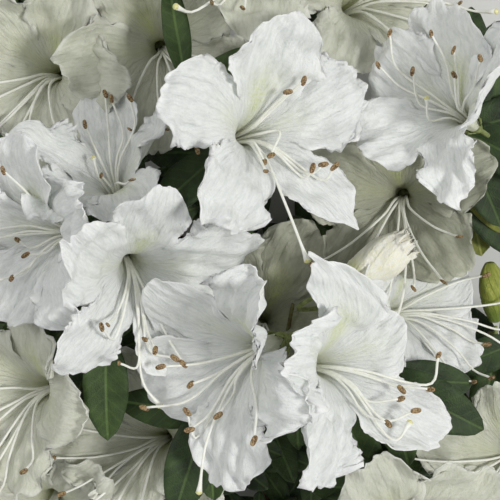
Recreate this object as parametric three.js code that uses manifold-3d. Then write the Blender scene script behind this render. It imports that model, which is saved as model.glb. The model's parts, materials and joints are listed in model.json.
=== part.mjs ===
// A flowering branch cut from a white azalea, laid down on its boughs with the blooms facing up.
// Everything is in millimetres: x to the right, y towards the branch's far end, z up.
// The branch is laid out around the middle of its crown, and moved at the end so that the origin
// lies on the resting surface, under the middle of the whole branch.

import * as THREE from "three";
import { mergeVertices } from "three/addons/utils/BufferGeometryUtils.js";
import Module from "manifold-3d";

// Clearance between two pieces that meet
const CLEARANCE = 0.3;
// Corners closer than this are one
const MERGE_DISTANCE = 1e-3;
// Steps in a surface that are finer than this are smoothed away
const SMALLEST_STEP = 0.02;

// Corolla: a tube that widens upwards into five lobes
const LOBE_COUNT = 5;
const TUBE_HEIGHT = 20;
const TUBE_FOOT_RADIUS = 2.1;
const TUBE_SWELL = 3.4;
const TUBE_FLARE = 5.5;
const TUBE_PLUG = 3;
const TUBE_ROWS = 2;
const THROAT_HEIGHT = 9;
const LOBE_LENGTH = 29;
const LOBE_WIDTH = 29;
const LOBE_COLUMNS = 3;
const LOBE_ROWS = 2;
const PETAL_THICKNESS = 0.7;
// How far back the rim falls at a lobe's corners, and how round the tip is
const TIP_FALL = 0.42;
const TIP_ROUNDNESS = 2.6;
// Where along its length a lobe is widest, and how much it narrows from there to its tip
const WIDEST_AT = 0.48;
const TIP_NARROWING = 0.22;
// Lift of a lobe's edges, up on one side and down on the other, and its hollow across
const EDGE_LIFT = 1.3;
const CROSS_CURVE = 0.012;
// Shares of a lobe's length by which the tube's roundness has faded, its own hollow has set in and
// its edges have their full lift
const ROUND_UNTIL = 0.35;
const HOLLOW_FROM = 0.25;
const LIFTED_FROM = 0.5;
// Share of its fifth of the circle that a lobe fills where it would meet its neighbours
const WEDGE_SHARE = 0.97;

// Stamens and style, which run down the lower side of the tube and curve up at their ends
const STAMEN_COUNT = 4;
const STAMEN_RADIUS = 0.45;
const STAMEN_SPREAD = 52;
// A stamen's path, as distances out from the bloom's axis and heights above the corolla's foot
const STAMEN_PATH = [[1.1, 2.2], [3.6, 16], [18, 29], [32, 41]];
// Shortest and longest stamens, as shares of that path
const STAMEN_REACHES = [0.82, 1.02];
const STYLE_RADIUS = 0.55;
const STYLE_REACH = 1.18;
const STYLE_STRAY = 12;
const ANTHER_RADIUS = 0.8;

// Stalk of a bloom or bud, and the cone by which the corolla's foot runs down to it
const STALK_RADIUS = 0.9;
const STALK_SIDES = 5;
const STALK_STEPS = 4;
// How deep it is rooted in the shoot, and where along it and how strongly it bows, as shares of its length
const STALK_ROOT = 1;
const STALK_BOW_AT = 0.12;
const STALK_BOW = 1 / 3;
const CUP_LENGTH = 4;

// Closed bud, which swells to its radius a little past its middle and has a blunt tip
const BUD_FOOT_RADIUS = 1.3;
const BUD_SIDES = 8;
const BUD_STEPS = 6;
const BUD_ROUNDNESS = 0.8;
const BUD_SWELL_POWER = 1.25;
const BUD_SWELL_SPAN = [0.04, 0.94];

// Leaves
const LEAF_LENGTH = 40;
const LEAF_WIDTH = 17;
const LEAF_THICKNESS = 0.6;
const LEAF_COLUMNS = 2;
const LEAF_ROWS = 3;
const LEAF_FOLD = 0.16;
// Outline of a leaf: the share of its width at its stalk, how round it is, and how blunt its tip
const LEAF_STALK_SHARE = 0.1;
const LEAF_BASE_POWER = 0.9;
const LEAF_ROUNDNESS = 0.75;
const LEAF_TIP_SHARE = 0.5;
// A leaf starts at an angle between the shoot's steepest one and this much less, and droops past level
const LEAF_RISE = 34;
const LEAF_RISE_SPREAD = 22;
const LEAF_DROOP = 22;
const LEAF_STRAY = 10;
const LEAF_SIZES = [0.82, 1.08];
// Where the leaves sit along a shoot, from its tip
const GOLDEN_ANGLE = 137.5;
const FIRST_LEAF = 1.5;
const WHORL_LENGTH = 13;
const WHORL_SHARE = 0.6;
// How often, and how, a leaf that would touch something is turned, lowered and shortened
const LEAF_TRIES = 6;
const LEAF_TURN = 23;
const LEAF_LOWERING = 5;
const LEAF_SHORTENING = 0.04;
const LOWEST_LEAF = 0.4;

// Wood
const MAIN_RADII = [3.4, 2.7];
const BOUGH_RADII = [2.3, 1.5];
const TWIG_RADII = [1.9, 1.4];
const SHOOT_RADII = [1.35, 1.1];
const LIMB_SIDES = 7;
const SHOOT_SIDES = 5;
const SHOOT_STEPS = 4;
// How far a shoot sags, and where, as shares of its length
const SHOOT_SAG = 0.12;
const SHOOT_SAG_AT = 0.55;
const LIMB_STEP = 16;

const PETAL = { color: 0xf4f5ef, roughness: 0.55, metalness: 0 };
const BUD = { color: 0xe9ecc4, roughness: 0.55, metalness: 0 };
const LEAF = { color: 0x3c5a2e, roughness: 0.6, metalness: 0 };
const BARK = { color: 0x5b3a2c, roughness: 0.85, metalness: 0 };

// The woody parts, each a limb through a few points, in the order in which they branch
const LIMBS = [
  { name: "main_stem", radii: MAIN_RADII,
    points: [[10, -190, 3.4], [11, -150, 3.3], [8, -110, 3.1], [3, -80, 2.9], [0, -56, 3.6]] },
  { name: "bough_left", radii: BOUGH_RADII,
    points: [[4.5, -95, 3.2], [-30, -92, 3.6], [-62, -76, 2.6], [-86, -42, 2.2], [-98, 5, 2],
      [-101, 50, 2], [-102, 85, 6], [-99, 112, 17]] },
  { name: "bough_centre", radii: BOUGH_RADII,
    points: [[0, -52, 3.5], [-8, -22, 2.6], [-14, 15, 2.2], [-14, 50, 6], [-3, 78, 18], [14, 92, 38]] },
  { name: "bough_right", radii: BOUGH_RADII,
    points: [[2.5, -76, 2.9], [38, -78, 2.6], [68, -70, 3.5], [85, -56, 16], [94, -33, 41]] },
  { name: "bough_far_right", radii: BOUGH_RADII,
    points: [[-7, -14, 2.6], [26, -4, 2.4], [54, 10, 2.4], [72, 28, 20], [78, 43, 50]] },
  { name: "twig_lower_middle", radii: TWIG_RADII,
    points: [[-1, -54, 6], [5, -50, 20], [11, -43, 40], [13.5, -37, 58]] },
  { name: "twig_left", radii: TWIG_RADII,
    points: [[-13, 2, 4], [-28, 4, 9], [-42, 6.5, 25], [-48, 7, 44]] },
  { name: "twig_upper_middle", radii: TWIG_RADII,
    points: [[-14, 26, 4], [-12, 33, 26], [-10.5, 36, 52]] },
  { name: "twig_bottom", radii: TWIG_RADII,
    points: [[38, -78, 4.5], [45, -85, 18], [49, -91, 38]] },
];

// Directions of the leaves of a whorl, from the first one on, each turned by the golden angle
const whorl = (first, count) => Array.from({ length: count }, (_, k) => first + k * GOLDEN_ANGLE);

// Where each leafy shoot leaves the wood, where it ends under its blooms, where its leaves point, and how
// steeply they start where that is less than usual
const SHOOTS = [
  { name: "leaves_lower_middle", from: [13.4, -37.5, 57], to: [13.5, -34, 73], leaves: whorl(200, 5),
    rise: -4 },
  { name: "leaves_left", from: [-48, 7, 43], to: [-49, 7, 57], leaves: whorl(250, 5) },
  { name: "leaves_upper_middle", from: [-10.6, 35.8, 51], to: [-10, 37, 68], leaves: [183, 218, 330, 80] },
  { name: "leaves_bottom", from: [48.8, -90.5, 37], to: [50, -94, 53], leaves: whorl(60, 5) },
  { name: "leaves_far_right", from: [78, 43, 49], to: [79, 45, 66], leaves: [287, 218, 330, 15, 80] },
  { name: "leaves_right_front", from: [68, -69, 6], to: [45, -43, 90], leaves: [-28, 66, 290] },
  { name: "leaves_left_front", from: [-72, -65, 4.5], to: [-51, -30, 82], leaves: [-90, 200, 60] },
  { name: "leaves_left_low", from: [-95, -14, 4], to: [-74, -20, 72], leaves: [-98, 150] },
  { name: "leaves_front_low", from: [-10, -94, 5.5], to: [-15, -55, 86], leaves: [-109, -84, 170] },
  { name: "leaves_back_middle", from: [-13, 54, 8], to: [-23, 60, 88], leaves: [97, 20] },
  { name: "leaves_right_middle", from: [30, -3, 4.5], to: [40, -21, 38], leaves: whorl(350, 4) },
  { name: "leaves_middle", from: [-2, -40, 5.5], to: [14, -21, 20], leaves: whorl(20, 3) },
  { name: "leaves_right_deep", from: [54, 10, 4.5], to: [62, 22, 24], leaves: whorl(300, 4) },
  { name: "leaves_top_left", from: [-14, 48, 7.5], to: [-36, 77, 25], leaves: whorl(10, 4) },
  { name: "leaves_far_left", from: [-101, 64, 4.5], to: [-76, 69, 21], leaves: whorl(60, 4) },
  { name: "leaves_left_edge", from: [-99, 112, 16], to: [-94, 104, 34], leaves: [-6, 100, 165, 235] },
  { name: "leaves_low_left", from: [-83, -47, 4], to: [-67, -50, 25], leaves: whorl(30, 4) },
  { name: "leaves_low_corner", from: [-46, -86, 4.5], to: [-72, -94, 13], leaves: whorl(190, 4) },
  { name: "leaves_low_middle", from: [-24, -93, 4.8], to: [-33, -74, 22], leaves: whorl(20, 4) },
  { name: "leaves_right_corner", from: [76, -65, 9], to: [104, -80, 24], leaves: whorl(250, 5) },
  { name: "leaves_top", from: [14, 92, 37], to: [20, 96, 48], leaves: whorl(80, 5) },
];

// Each bloom: the shoot that carries it, the middle of its throat, the way it leans from straight up
// (direction and angle), the direction of its upper lobe, its size, how far each lobe opens from the
// axis at its tip, clockwise from the upper one, and how far its stamens swing round from its lower side
const BLOOMS = [
  { shoot: "leaves_lower_middle", throat: [4, -33, 100], lean: [198, 45], upper: 48, size: 1.08,
    open: [86, 86, 90, 98, 62], swing: 0 },
  { shoot: "leaves_lower_middle", throat: [23, -39, 100], lean: [8, 38], upper: 94, size: 1.08,
    open: [84, 96, 78, 98, 62], swing: 26 },
  { shoot: "leaves_left", throat: [-41.5, -4, 92], lean: [-52, 30], upper: 90, size: 1.06,
    open: [77, 104, 106, 100, 62], swing: 0 },
  { shoot: "leaves_left", throat: [-64, 6.5, 82], lean: [192, 43], upper: 92, size: 0.98,
    open: [94, 96, 96, 94, 88], swing: -72 },
  { shoot: "leaves_left", throat: [-48.5, 20.5, 74], lean: [109, 40], upper: -57, size: 0.96,
    open: [96, 100, 64, 76, 88], swing: 0 },
  { shoot: "leaves_upper_middle", throat: [-2.5, 39, 96], lean: [10, 29], upper: 91, size: 1.08,
    open: [62, 90, 80, 102, 96], swing: 10 },
  { shoot: "leaves_far_right", throat: [73.5, 45.5, 94], lean: [157, 43], upper: 66, size: 0.97,
    open: [62, 64, 104, 62, 80], swing: -116 },
  { shoot: "leaves_bottom", throat: [50.5, -96, 80], lean: [-60, 16], upper: 115, size: 1.04,
    open: [88, 86, 84, 86, 92], swing: 0 },
  { shoot: "leaves_top_left", throat: [-34, 77.5, 52], lean: [300, 12], upper: 120, size: 1.05,
    open: [84, 88, 84, 86, 90], swing: 0 },
  { shoot: "leaves_far_left", throat: [-75, 68, 46], lean: [200, 14], upper: 60, size: 1.05,
    open: [84, 84, 88, 86, 90], swing: 0 },
  { shoot: "leaves_right_deep", throat: [58, 21, 50], lean: [200, 15], upper: 95, size: 1.04,
    open: [88, 84, 86, 88, 84], swing: 0 },
  { shoot: "leaves_right_middle", throat: [53, -24, 54], lean: [20, 40], upper: 100, size: 1.0,
    open: [80, 88, 96, 92, 80], swing: 50 },
  { shoot: "leaves_low_left", throat: [-76.5, -52, 52], lean: [185, 32], upper: 60, size: 1.02,
    open: [86, 84, 84, 86, 90], swing: 0 },
  { shoot: "leaves_low_middle", throat: [-33, -72.5, 46], lean: [170, 18], upper: 40, size: 1.02,
    open: [88, 84, 86, 84, 88], swing: 0 },
  { shoot: "leaves_right_corner", throat: [100, -79, 50], lean: [150, 22], upper: 95, size: 1.0,
    open: [86, 86, 88, 84, 86], swing: -40 },
  { shoot: "leaves_top", throat: [4.5, 99, 76], lean: [110, 20], upper: 60, size: 1.04,
    open: [86, 84, 88, 86, 88], swing: 0 },
  { shoot: "leaves_top", throat: [37, 91, 56], lean: [20, 22], upper: 100, size: 1.0,
    open: [84, 88, 86, 80, 84], swing: 60 },
  { shoot: "leaves_low_corner", throat: [-78, -97, 32], lean: [250, 20], upper: 110, size: 1.0,
    open: [84, 86, 86, 84, 88], swing: 0 },
  { shoot: "leaves_middle", throat: [5, -27, 45], lean: [90, 16], upper: 62, size: 1.0,
    open: [86, 84, 88, 84, 86], swing: 0 },
];

// Closed buds: the shoot or bough that carries each, the foot of the bud, the way it points, its length
// and its radius
const BUDS = [
  { name: "bud_middle", from: [40, -21, 38], foot: [34, -9, 80], aim: [26, 13, 4],
    length: 31, radius: 6.2 },
  { name: "bud_right", from: [94, -33, 41], foot: [94.5, -27.5, 46], aim: [-3, 23, 5],
    length: 22, radius: 4 },
];

const wasm = await Module();
wasm.setup();

const radians = THREE.MathUtils.degToRad;
const smooth = (v) => THREE.MathUtils.smoothstep(v, 0, 1);
const vector = (p) => new THREE.Vector3(...p);

const between = ([low, high], share) => low + (high - low) * share;

// Small repeatable random numbers between 0 and 1
function randomFrom(seed) {
  let state = seed * 7919 + 17;
  return () => {
    state = (state * 16807) % 2147483647;
    return state / 2147483647;
  };
}

// A closed geometry as a solid: shared vertices merged, flat triangles dropped, faces turned outwards
function solidOf(geometry) {
  const bare = geometry.clone();
  bare.deleteAttribute("normal");
  bare.deleteAttribute("uv");
  const merged = mergeVertices(bare, MERGE_DISTANCE);
  const index = [...merged.index.array];
  const kept = [];
  for (let i = 0; i < index.length; i += 3) {
    const [a, b, c] = index.slice(i, i + 3);
    if (a !== b && b !== c && a !== c) kept.push([a, b, c]);
  }
  const build = (faces) => new wasm.Manifold(new wasm.Mesh({
    numProp: 3,
    vertProperties: new Float32Array(merged.attributes.position.array),
    triVerts: new Uint32Array(faces.flat()),
  }));
  const made = build(kept);
  return made.volume() > 0 ? made : build(kept.map(([a, b, c]) => [a, c, b]));
}

// The largest closed body of a solid; scraps that a cut left loose are dropped
function largest(solid) {
  if (solid.isEmpty()) return solid;
  const bodies = solid.decompose();
  return bodies.reduce((best, body) => (body.volume() > best.volume() ? body : best), bodies[0]);
}

// What is left of a solid, in one piece, once the room that others take has been cut from it
function clearOf(solid, others) {
  return largest(others.length ? solid.subtract(wasm.Manifold.union(others)) : solid);
}

// Moves every vertex of a geometry to where place() puts it
function bend(geometry, place) {
  const position = geometry.attributes.position;
  for (let i = 0; i < position.count; i += 1) {
    const at = place(position.getX(i), position.getY(i), position.getZ(i));
    position.setXYZ(i, at.x, at.y, at.z);
  }
  return geometry;
}

// A rod with flat ends and a corner at each given point; radiusAt(k) is its radius at point k
function rod(points, radiusAt, sides) {
  const steps = points.length - 1;
  const ahead = points.map((point, k) => points[Math.min(k + 1, steps)].clone()
    .sub(points[Math.max(k - 1, 0)]).normalize());
  const start = new THREE.Vector3(0, 0, 1).cross(ahead[0]).normalize();
  const across = ahead.map(() => new THREE.Vector3());
  across[0].copy(start.lengthSq() > 0.5 ? start : new THREE.Vector3(1, 0, 0));
  for (let k = 1; k <= steps; k += 1) {
    across[k].copy(across[k - 1]).addScaledVector(ahead[k], -across[k - 1].dot(ahead[k])).normalize();
  }
  const block = new THREE.CylinderGeometry(1, 1, 1, sides, steps);
  return solidOf(bend(block, (x, y, z) => {
    const k = Math.round((y + 0.5) * steps);
    const other = new THREE.Vector3().crossVectors(across[k], ahead[k]);
    return points[k].clone()
      .addScaledVector(across[k], x * radiusAt(k))
      .addScaledVector(other, z * radiusAt(k));
  }));
}

// A tapering limb with flat ends along a smooth curve; radiusAt(u) is its radius from 0 to 1
function limb(points, radiusAt, sides, steps) {
  const curve = new THREE.CatmullRomCurve3(points, false, "centripetal");
  return rod(curve.getSpacedPoints(steps), (k) => radiusAt(k / steps), sides);
}

function taper(radii, grow) {
  return (u) => between(radii, u) + grow;
}

function woodSolid({ points, radii }, grow) {
  const through = points.map(vector);
  const length = new THREE.CatmullRomCurve3(through, false, "centripetal").getLength();
  return limb(through, taper(radii, grow), LIMB_SIDES, Math.round(length / LIMB_STEP) + 2);
}

// The frame of a bloom: z along its axis, y towards its upper lobe, origin at the corolla's foot
function bloomFrame({ throat, lean: [direction, angle], upper, size }) {
  const [d, a, u] = [direction, angle, upper].map(radians);
  const axis = new THREE.Vector3(Math.sin(a) * Math.cos(d), Math.sin(a) * Math.sin(d), Math.cos(a));
  const up = new THREE.Vector3(Math.cos(u), Math.sin(u), 0);
  up.addScaledVector(axis, -up.dot(axis)).normalize();
  const side = new THREE.Vector3().crossVectors(up, axis);
  const foot = vector(throat).addScaledVector(axis, -THROAT_HEIGHT * size);
  return new THREE.Matrix4().makeBasis(side, up, axis).setPosition(foot);
}

const tubeRadius = (height) => {
  const share = height / TUBE_HEIGHT;
  return TUBE_FOOT_RADIUS + TUBE_SWELL * share + TUBE_FLARE * share ** 3;
};
const RIM_RADIUS = tubeRadius(TUBE_HEIGHT);
const RIM_ANGLE = Math.atan((TUBE_SWELL + 3 * TUBE_FLARE) / TUBE_HEIGHT);

// Half the width of a lobe at a share of its length
function lobeHalfWidth(share) {
  const root = RIM_RADIUS * Math.PI / LOBE_COUNT;
  const full = LOBE_WIDTH / 2;
  if (share < WIDEST_AT) return root + (full - root) * Math.sin((share / WIDEST_AT) * Math.PI / 2);
  return full * (1 - TIP_NARROWING * ((share - WIDEST_AT) / (1 - WIDEST_AT)) ** 2);
}

// A point of the tube; across is -1 to 1 over one lobe's fifth of the circle, up is 0 to 1
function tubePoint(across, up, side, grow) {
  const height = up * TUBE_HEIGHT;
  const radius = tubeRadius(height) + side * (PETAL_THICKNESS / 2 + grow);
  const azimuth = across * Math.PI / LOBE_COUNT;
  return new THREE.Vector3(Math.sin(azimuth) * radius, Math.cos(azimuth) * radius, height);
}

// A point of a lobe that opens to an angle at its tip; along is 0 at the rim of the tube and 1 at the
// tip, and side is 1 on the outer face and -1 on the inner one
function lobePoint(open, across, along, side, grow) {
  const edge = Math.abs(across);
  const run = along * (LOBE_LENGTH * (1 - TIP_FALL * edge ** TIP_ROUNDNESS) + grow);
  const share = run / LOBE_LENGTH;
  const turn = (radians(open) - RIM_ANGLE) / LOBE_LENGTH;
  const angle = RIM_ANGLE + turn * run;
  const out = RIM_RADIUS + (Math.cos(RIM_ANGLE) - Math.cos(angle)) / turn;
  const up = TUBE_HEIGHT + (Math.sin(angle) - Math.sin(RIM_ANGLE)) / turn;
  const curve = (1 - smooth(share / ROUND_UNTIL)) / RIM_RADIUS + CROSS_CURVE;
  const q = across * (lobeHalfWidth(share) + grow);
  const lift = EDGE_LIFT * across * edge * smooth(share / LIFTED_FROM);
  const half = side * (PETAL_THICKNESS / 2 + grow);
  const bulge = (1 - Math.cos(curve * q)) / curve + lift - half * Math.cos(curve * q);
  const sideways = Math.sin(curve * q) / curve + half * Math.sin(curve * q);
  const hollow = smooth(share / HOLLOW_FROM);
  const radial = out - bulge * Math.cos(angle * hollow);
  const wedge = (WEDGE_SHARE + grow * (1 - WEDGE_SHARE)) * Math.PI / LOBE_COUNT;
  const azimuth = THREE.MathUtils.clamp(Math.atan2(sideways, radial), -wedge, wedge);
  const reach = Math.hypot(radial, sideways);
  const height = up + bulge * Math.sin(angle) * hollow;
  return new THREE.Vector3(Math.sin(azimuth) * reach, Math.cos(azimuth) * reach, height);
}

// The corolla as one closed shell, a grid that runs from the foot to the tips on its outer face and
// back down its inner face. Neighbouring lobes share their edges in the tube and are free above it.
function corollaSolid(open, grow) {
  const rows = TUBE_ROWS + LOBE_ROWS;
  const points = [];
  const numbers = new Map();
  const corner = (lobe, column, row, side) => {
    const around = (lobe * LOBE_COLUMNS + column) % (LOBE_COUNT * LOBE_COLUMNS);
    const key = row > TUBE_ROWS ? `${lobe} ${column} ${row} ${side}` : `${around} ${row} ${side}`;
    if (!numbers.has(key)) {
      const across = (2 * column) / LOBE_COLUMNS - 1;
      const lowest = side < 0 ? TUBE_PLUG / TUBE_HEIGHT : 0;
      const point = row > TUBE_ROWS
        ? lobePoint(open[lobe], across, (row - TUBE_ROWS) / LOBE_ROWS, side, grow)
        : tubePoint(across, Math.max(row / TUBE_ROWS, lowest), side, grow);
      points.push(point.applyAxisAngle(new THREE.Vector3(0, 0, 1), (-2 * Math.PI * lobe) / LOBE_COUNT));
      numbers.set(key, points.length - 1);
    }
    return numbers.get(key);
  };
  const faces = [];
  const quad = (p, q, r, s) => faces.push(p, q, r, p, r, s);
  for (let lobe = 0; lobe < LOBE_COUNT; lobe += 1) {
    for (let column = 0; column < LOBE_COLUMNS; column += 1) {
      for (const side of [1, -1]) {
        const [left, right] = side > 0 ? [column, column + 1] : [column + 1, column];
        for (let row = 0; row < rows; row += 1) {
          quad(corner(lobe, right, row, side), corner(lobe, left, row, side),
            corner(lobe, left, row + 1, side), corner(lobe, right, row + 1, side));
        }
      }
      quad(corner(lobe, column + 1, rows, 1), corner(lobe, column, rows, 1),
        corner(lobe, column, rows, -1), corner(lobe, column + 1, rows, -1));
    }
    for (let row = TUBE_ROWS; row < rows; row += 1) {
      quad(corner(lobe, 0, row, 1), corner(lobe, 0, row, -1),
        corner(lobe, 0, row + 1, -1), corner(lobe, 0, row + 1, 1));
      quad(corner(lobe, LOBE_COLUMNS, row, -1), corner(lobe, LOBE_COLUMNS, row, 1),
        corner(lobe, LOBE_COLUMNS, row + 1, 1), corner(lobe, LOBE_COLUMNS, row + 1, -1));
    }
  }
  for (const side of [1, -1]) {
    const middle = points.push(new THREE.Vector3(0, 0, side > 0 ? -CUP_LENGTH - grow : TUBE_PLUG)) - 1;
    for (let lobe = 0; lobe < LOBE_COUNT; lobe += 1) {
      for (let column = 0; column < LOBE_COLUMNS; column += 1) {
        const [left, right] = side > 0 ? [column, column + 1] : [column + 1, column];
        faces.push(middle, corner(lobe, left, 0, side), corner(lobe, right, 0, side));
      }
    }
  }
  return solidOf(new THREE.BufferGeometry().setFromPoints(points).setIndex(faces));
}

// A stamen or the style: fan is its angle from the lower side of the bloom, reach its length
function filamentSolid(fan, reach, radius, tip, grow) {
  const a = radians(fan);
  const path = STAMEN_PATH.map(([out, up], k) => {
    const stretch = k > 1 ? reach : 1;
    const height = STAMEN_PATH[1][1] + (up - STAMEN_PATH[1][1]) * stretch;
    return new THREE.Vector3(Math.sin(a) * out * stretch, -Math.cos(a) * out * stretch, height);
  });
  const radiusAt = (k) => (k === path.length - 1 ? tip : radius) + grow;
  return rod(path, radiusAt, 3);
}

// The stalk from a shoot's tip to the foot of a bloom or bud that points along axis
function stalkSolid(from, foot, axis, grow) {
  const start = vector(from);
  start.z -= STALK_ROOT;
  const end = foot.clone().addScaledVector(axis, -CUP_LENGTH / 2);
  const bow = end.distanceTo(start) * STALK_BOW;
  const low = start.clone().lerp(end, STALK_BOW_AT);
  low.z += bow;
  const through = [start, low, end.clone().addScaledVector(axis, -bow), end];
  return limb(through, () => STALK_RADIUS + grow, STALK_SIDES, STALK_STEPS);
}

const shootNamed = new Map(SHOOTS.map((shoot) => [shoot.name, shoot]));

// A whole bloom in the branch's frame: stalk, cup, corolla, stamens and style
function bloomSolid(spec, number, grow) {
  const random = randomFrom(number + 1);
  const frame = bloomFrame(spec);
  const scaled = frame.clone().multiply(new THREE.Matrix4().makeScale(spec.size, spec.size, spec.size));
  const parts = [corollaSolid(spec.open, grow)];
  for (let k = 0; k < STAMEN_COUNT; k += 1) {
    const fan = spec.swing + (k / (STAMEN_COUNT - 1) - 0.5) * 2 * STAMEN_SPREAD;
    parts.push(filamentSolid(fan, between(STAMEN_REACHES, random()), STAMEN_RADIUS, ANTHER_RADIUS, grow));
  }
  const astray = between([STYLE_STRAY, -STYLE_STRAY], random());
  parts.push(filamentSolid(spec.swing + astray, STYLE_REACH, STYLE_RADIUS, STYLE_RADIUS, grow));
  const foot = new THREE.Vector3().setFromMatrixPosition(frame);
  const axis = new THREE.Vector3().setFromMatrixColumn(frame, 2);
  const stalk = stalkSolid(shootNamed.get(spec.shoot).to, foot, axis, grow);
  return wasm.Manifold.union(parts).transform(scaled.toArray()).add(stalk);
}

// A closed bud on its stalk
function budSolid({ from, foot, aim, length, radius }, grow) {
  const axis = vector(aim).normalize();
  const start = vector(foot);
  const tip = start.clone().addScaledVector(axis, length);
  const swell = (u) => {
    const turn = Math.PI * between(BUD_SWELL_SPAN, u ** BUD_SWELL_POWER);
    return between([BUD_FOOT_RADIUS, radius], Math.sin(turn) ** BUD_ROUNDNESS);
  };
  const body = limb([start, tip], (u) => swell(u) + grow, BUD_SIDES, BUD_STEPS);
  return body.add(stalkSolid(from, start, axis, grow));
}

// One leaf: it leaves the shoot at a point, in a direction, rising first and then drooping
function leafSolid(at, direction, rise, length, grow) {
  const d = radians(direction);
  const ahead = new THREE.Vector3(Math.cos(d), Math.sin(d), 0);
  const across = new THREE.Vector3(Math.sin(d), -Math.cos(d), 0);
  const width = (LEAF_WIDTH / LEAF_LENGTH) * length;
  const droop = radians(rise + LEAF_DROOP) / length;
  const block = new THREE.BoxGeometry(2, 1, 1, LEAF_COLUMNS, LEAF_ROWS, 1);
  return solidOf(bend(block, (x, y, z) => {
    const u = y + 0.5;
    const oval = Math.sin(Math.PI * u ** LEAF_BASE_POWER) ** LEAF_ROUNDNESS;
    const blunt = u === 1 ? LEAF_TIP_SHARE : 1;
    const half = (width / 2) * between([LEAF_STALK_SHARE, 1], oval) * blunt + grow;
    const angle = radians(rise) - droop * u * length;
    const out = (Math.sin(radians(rise)) - Math.sin(angle)) / droop;
    const up = (Math.cos(angle) - Math.cos(radians(rise))) / droop;
    const normal = new THREE.Vector3().addScaledVector(ahead, -Math.sin(angle));
    normal.z = Math.cos(angle);
    return at.clone()
      .addScaledVector(ahead, out)
      .addScaledVector(across, x * half)
      .add(new THREE.Vector3(0, 0, up))
      .addScaledVector(normal, Math.abs(x) * half * LEAF_FOLD + z * (LEAF_THICKNESS + 2 * grow));
  }));
}

// The points that a leafy shoot's stem runs through
function shootCurve({ from, to }) {
  const start = vector(from);
  const end = vector(to);
  const middle = start.clone().lerp(end, SHOOT_SAG_AT);
  middle.z -= SHOOT_SAG * start.distanceTo(end);
  return [start, middle, end];
}

function shootSolid(shoot, grow) {
  return limb(shootCurve(shoot), taper(SHOOT_RADII, grow), SHOOT_SIDES, SHOOT_STEPS);
}

// The leaves of a shoot, from its tip downwards, each turned on from the last by the golden angle. One
// that would touch what is there is turned and lowered a few times, and skipped if it still would.
function leavesOf(shoot, number, taken) {
  const random = randomFrom(100 + number);
  const curve = new THREE.CatmullRomCurve3(shootCurve(shoot), false, "centripetal");
  const length = curve.getLength();
  const grown = [];
  const steepest = shoot.rise ?? LEAF_RISE;
  shoot.leaves.forEach((toward, k) => {
    const down = FIRST_LEAF + (k / shoot.leaves.length) * Math.min(WHORL_LENGTH, length * WHORL_SHARE);
    const at = curve.getPointAt(1 - down / length);
    const direction = toward + (random() - 0.5) * LEAF_STRAY;
    const rise = steepest - LEAF_RISE_SPREAD * random();
    const size = LEAF_LENGTH * between(LEAF_SIZES, random());
    for (let turn = 0; turn < LEAF_TRIES; turn += 1) {
      const side = turn % 2 ? LEAF_TURN : -LEAF_TURN;
      const pose = [at, direction + side * Math.ceil(turn / 2), rise - LEAF_LOWERING * turn,
        size * (1 - LEAF_SHORTENING * turn)];
      const space = leafSolid(...pose, CLEARANCE);
      if (space.boundingBox().min[2] > LOWEST_LEAF && space.intersect(taken).isEmpty()) {
        grown.push({ leaf: leafSolid(...pose, 0), space });
        break;
      }
    }
  });
  return grown;
}

// A solid as a named mesh that stands at the given point
function meshOf(name, solid, look, at) {
  const data = solid.getMesh();
  const corners = [];
  for (let i = 0; i < data.numVert; i += 1) {
    corners.push(...data.vertProperties.subarray(i * data.numProp, i * data.numProp + 3));
  }
  const geometry = new THREE.BufferGeometry()
    .setAttribute("position", new THREE.Float32BufferAttribute(corners, 3))
    .setIndex([...data.triVerts])
    .translate(-at.x, -at.y, -at.z);
  geometry.computeVertexNormals();
  const mesh = new THREE.Mesh(geometry, new THREE.MeshStandardMaterial(look));
  mesh.name = name;
  mesh.position.copy(at);
  return mesh;
}

// Every finished piece, and the room that each takes with its clearance
const finished = [];
const spaces = [];
const place = (name, solid, look, at) => {
  finished.push({ name, solid: largest(solid.simplify(SMALLEST_STEP)), look, at });
};

// Wood first, each limb cut clear of those before it
LIMBS.forEach((spec) => {
  place(spec.name, clearOf(woodSolid(spec, 0), spaces), BARK, vector(spec.points[0]));
  spaces.push(woodSolid(spec, CLEARANCE));
});
const stems = SHOOTS.map((shoot) => clearOf(shootSolid(shoot, 0), spaces));
const stemSpaces = SHOOTS.map((shoot) => shootSolid(shoot, CLEARANCE));
spaces.push(...stemSpaces);

// Blooms and buds, the ones in front first, each cut clear of what is there
BLOOMS.forEach((spec, number) => {
  const name = `bloom_${String(number + 1).padStart(2, "0")}`;
  place(name, clearOf(bloomSolid(spec, number, 0), spaces), PETAL, vector(spec.throat));
  spaces.push(bloomSolid(spec, number, CLEARANCE));
});
BUDS.forEach((spec) => {
  place(spec.name, clearOf(budSolid(spec, 0), spaces), BUD, vector(spec.foot));
  spaces.push(budSolid(spec, CLEARANCE));
});

// Leaves last, in the room that is left
let taken = wasm.Manifold.union(spaces.filter((space) => !stemSpaces.includes(space)));
SHOOTS.forEach((shoot, number) => {
  const others = wasm.Manifold.union(stemSpaces.filter((_, k) => k !== number));
  const grown = leavesOf(shoot, number, taken.add(others));
  const leafy = wasm.Manifold.union([stems[number], ...grown.map(({ leaf }) => leaf)]);
  place(shoot.name, leafy, LEAF, vector(shoot.to));
  taken = wasm.Manifold.union([taken, ...grown.map(({ space }) => space)]);
});

const branch = new THREE.Group();
branch.name = "azalea_branch";
finished.forEach(({ name, solid, look, at }) => branch.add(meshOf(name, solid, look, at)));

// Stand the branch on the surface, with the origin under its middle
const reach = new THREE.Box3();
finished.forEach(({ solid }) => {
  const { min, max } = solid.boundingBox();
  reach.expandByPoint(vector(min)).expandByPoint(vector(max));
});
const middle = reach.getCenter(new THREE.Vector3());
branch.position.set(-middle.x, -middle.y, -reach.min.z);

export default branch;
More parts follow.
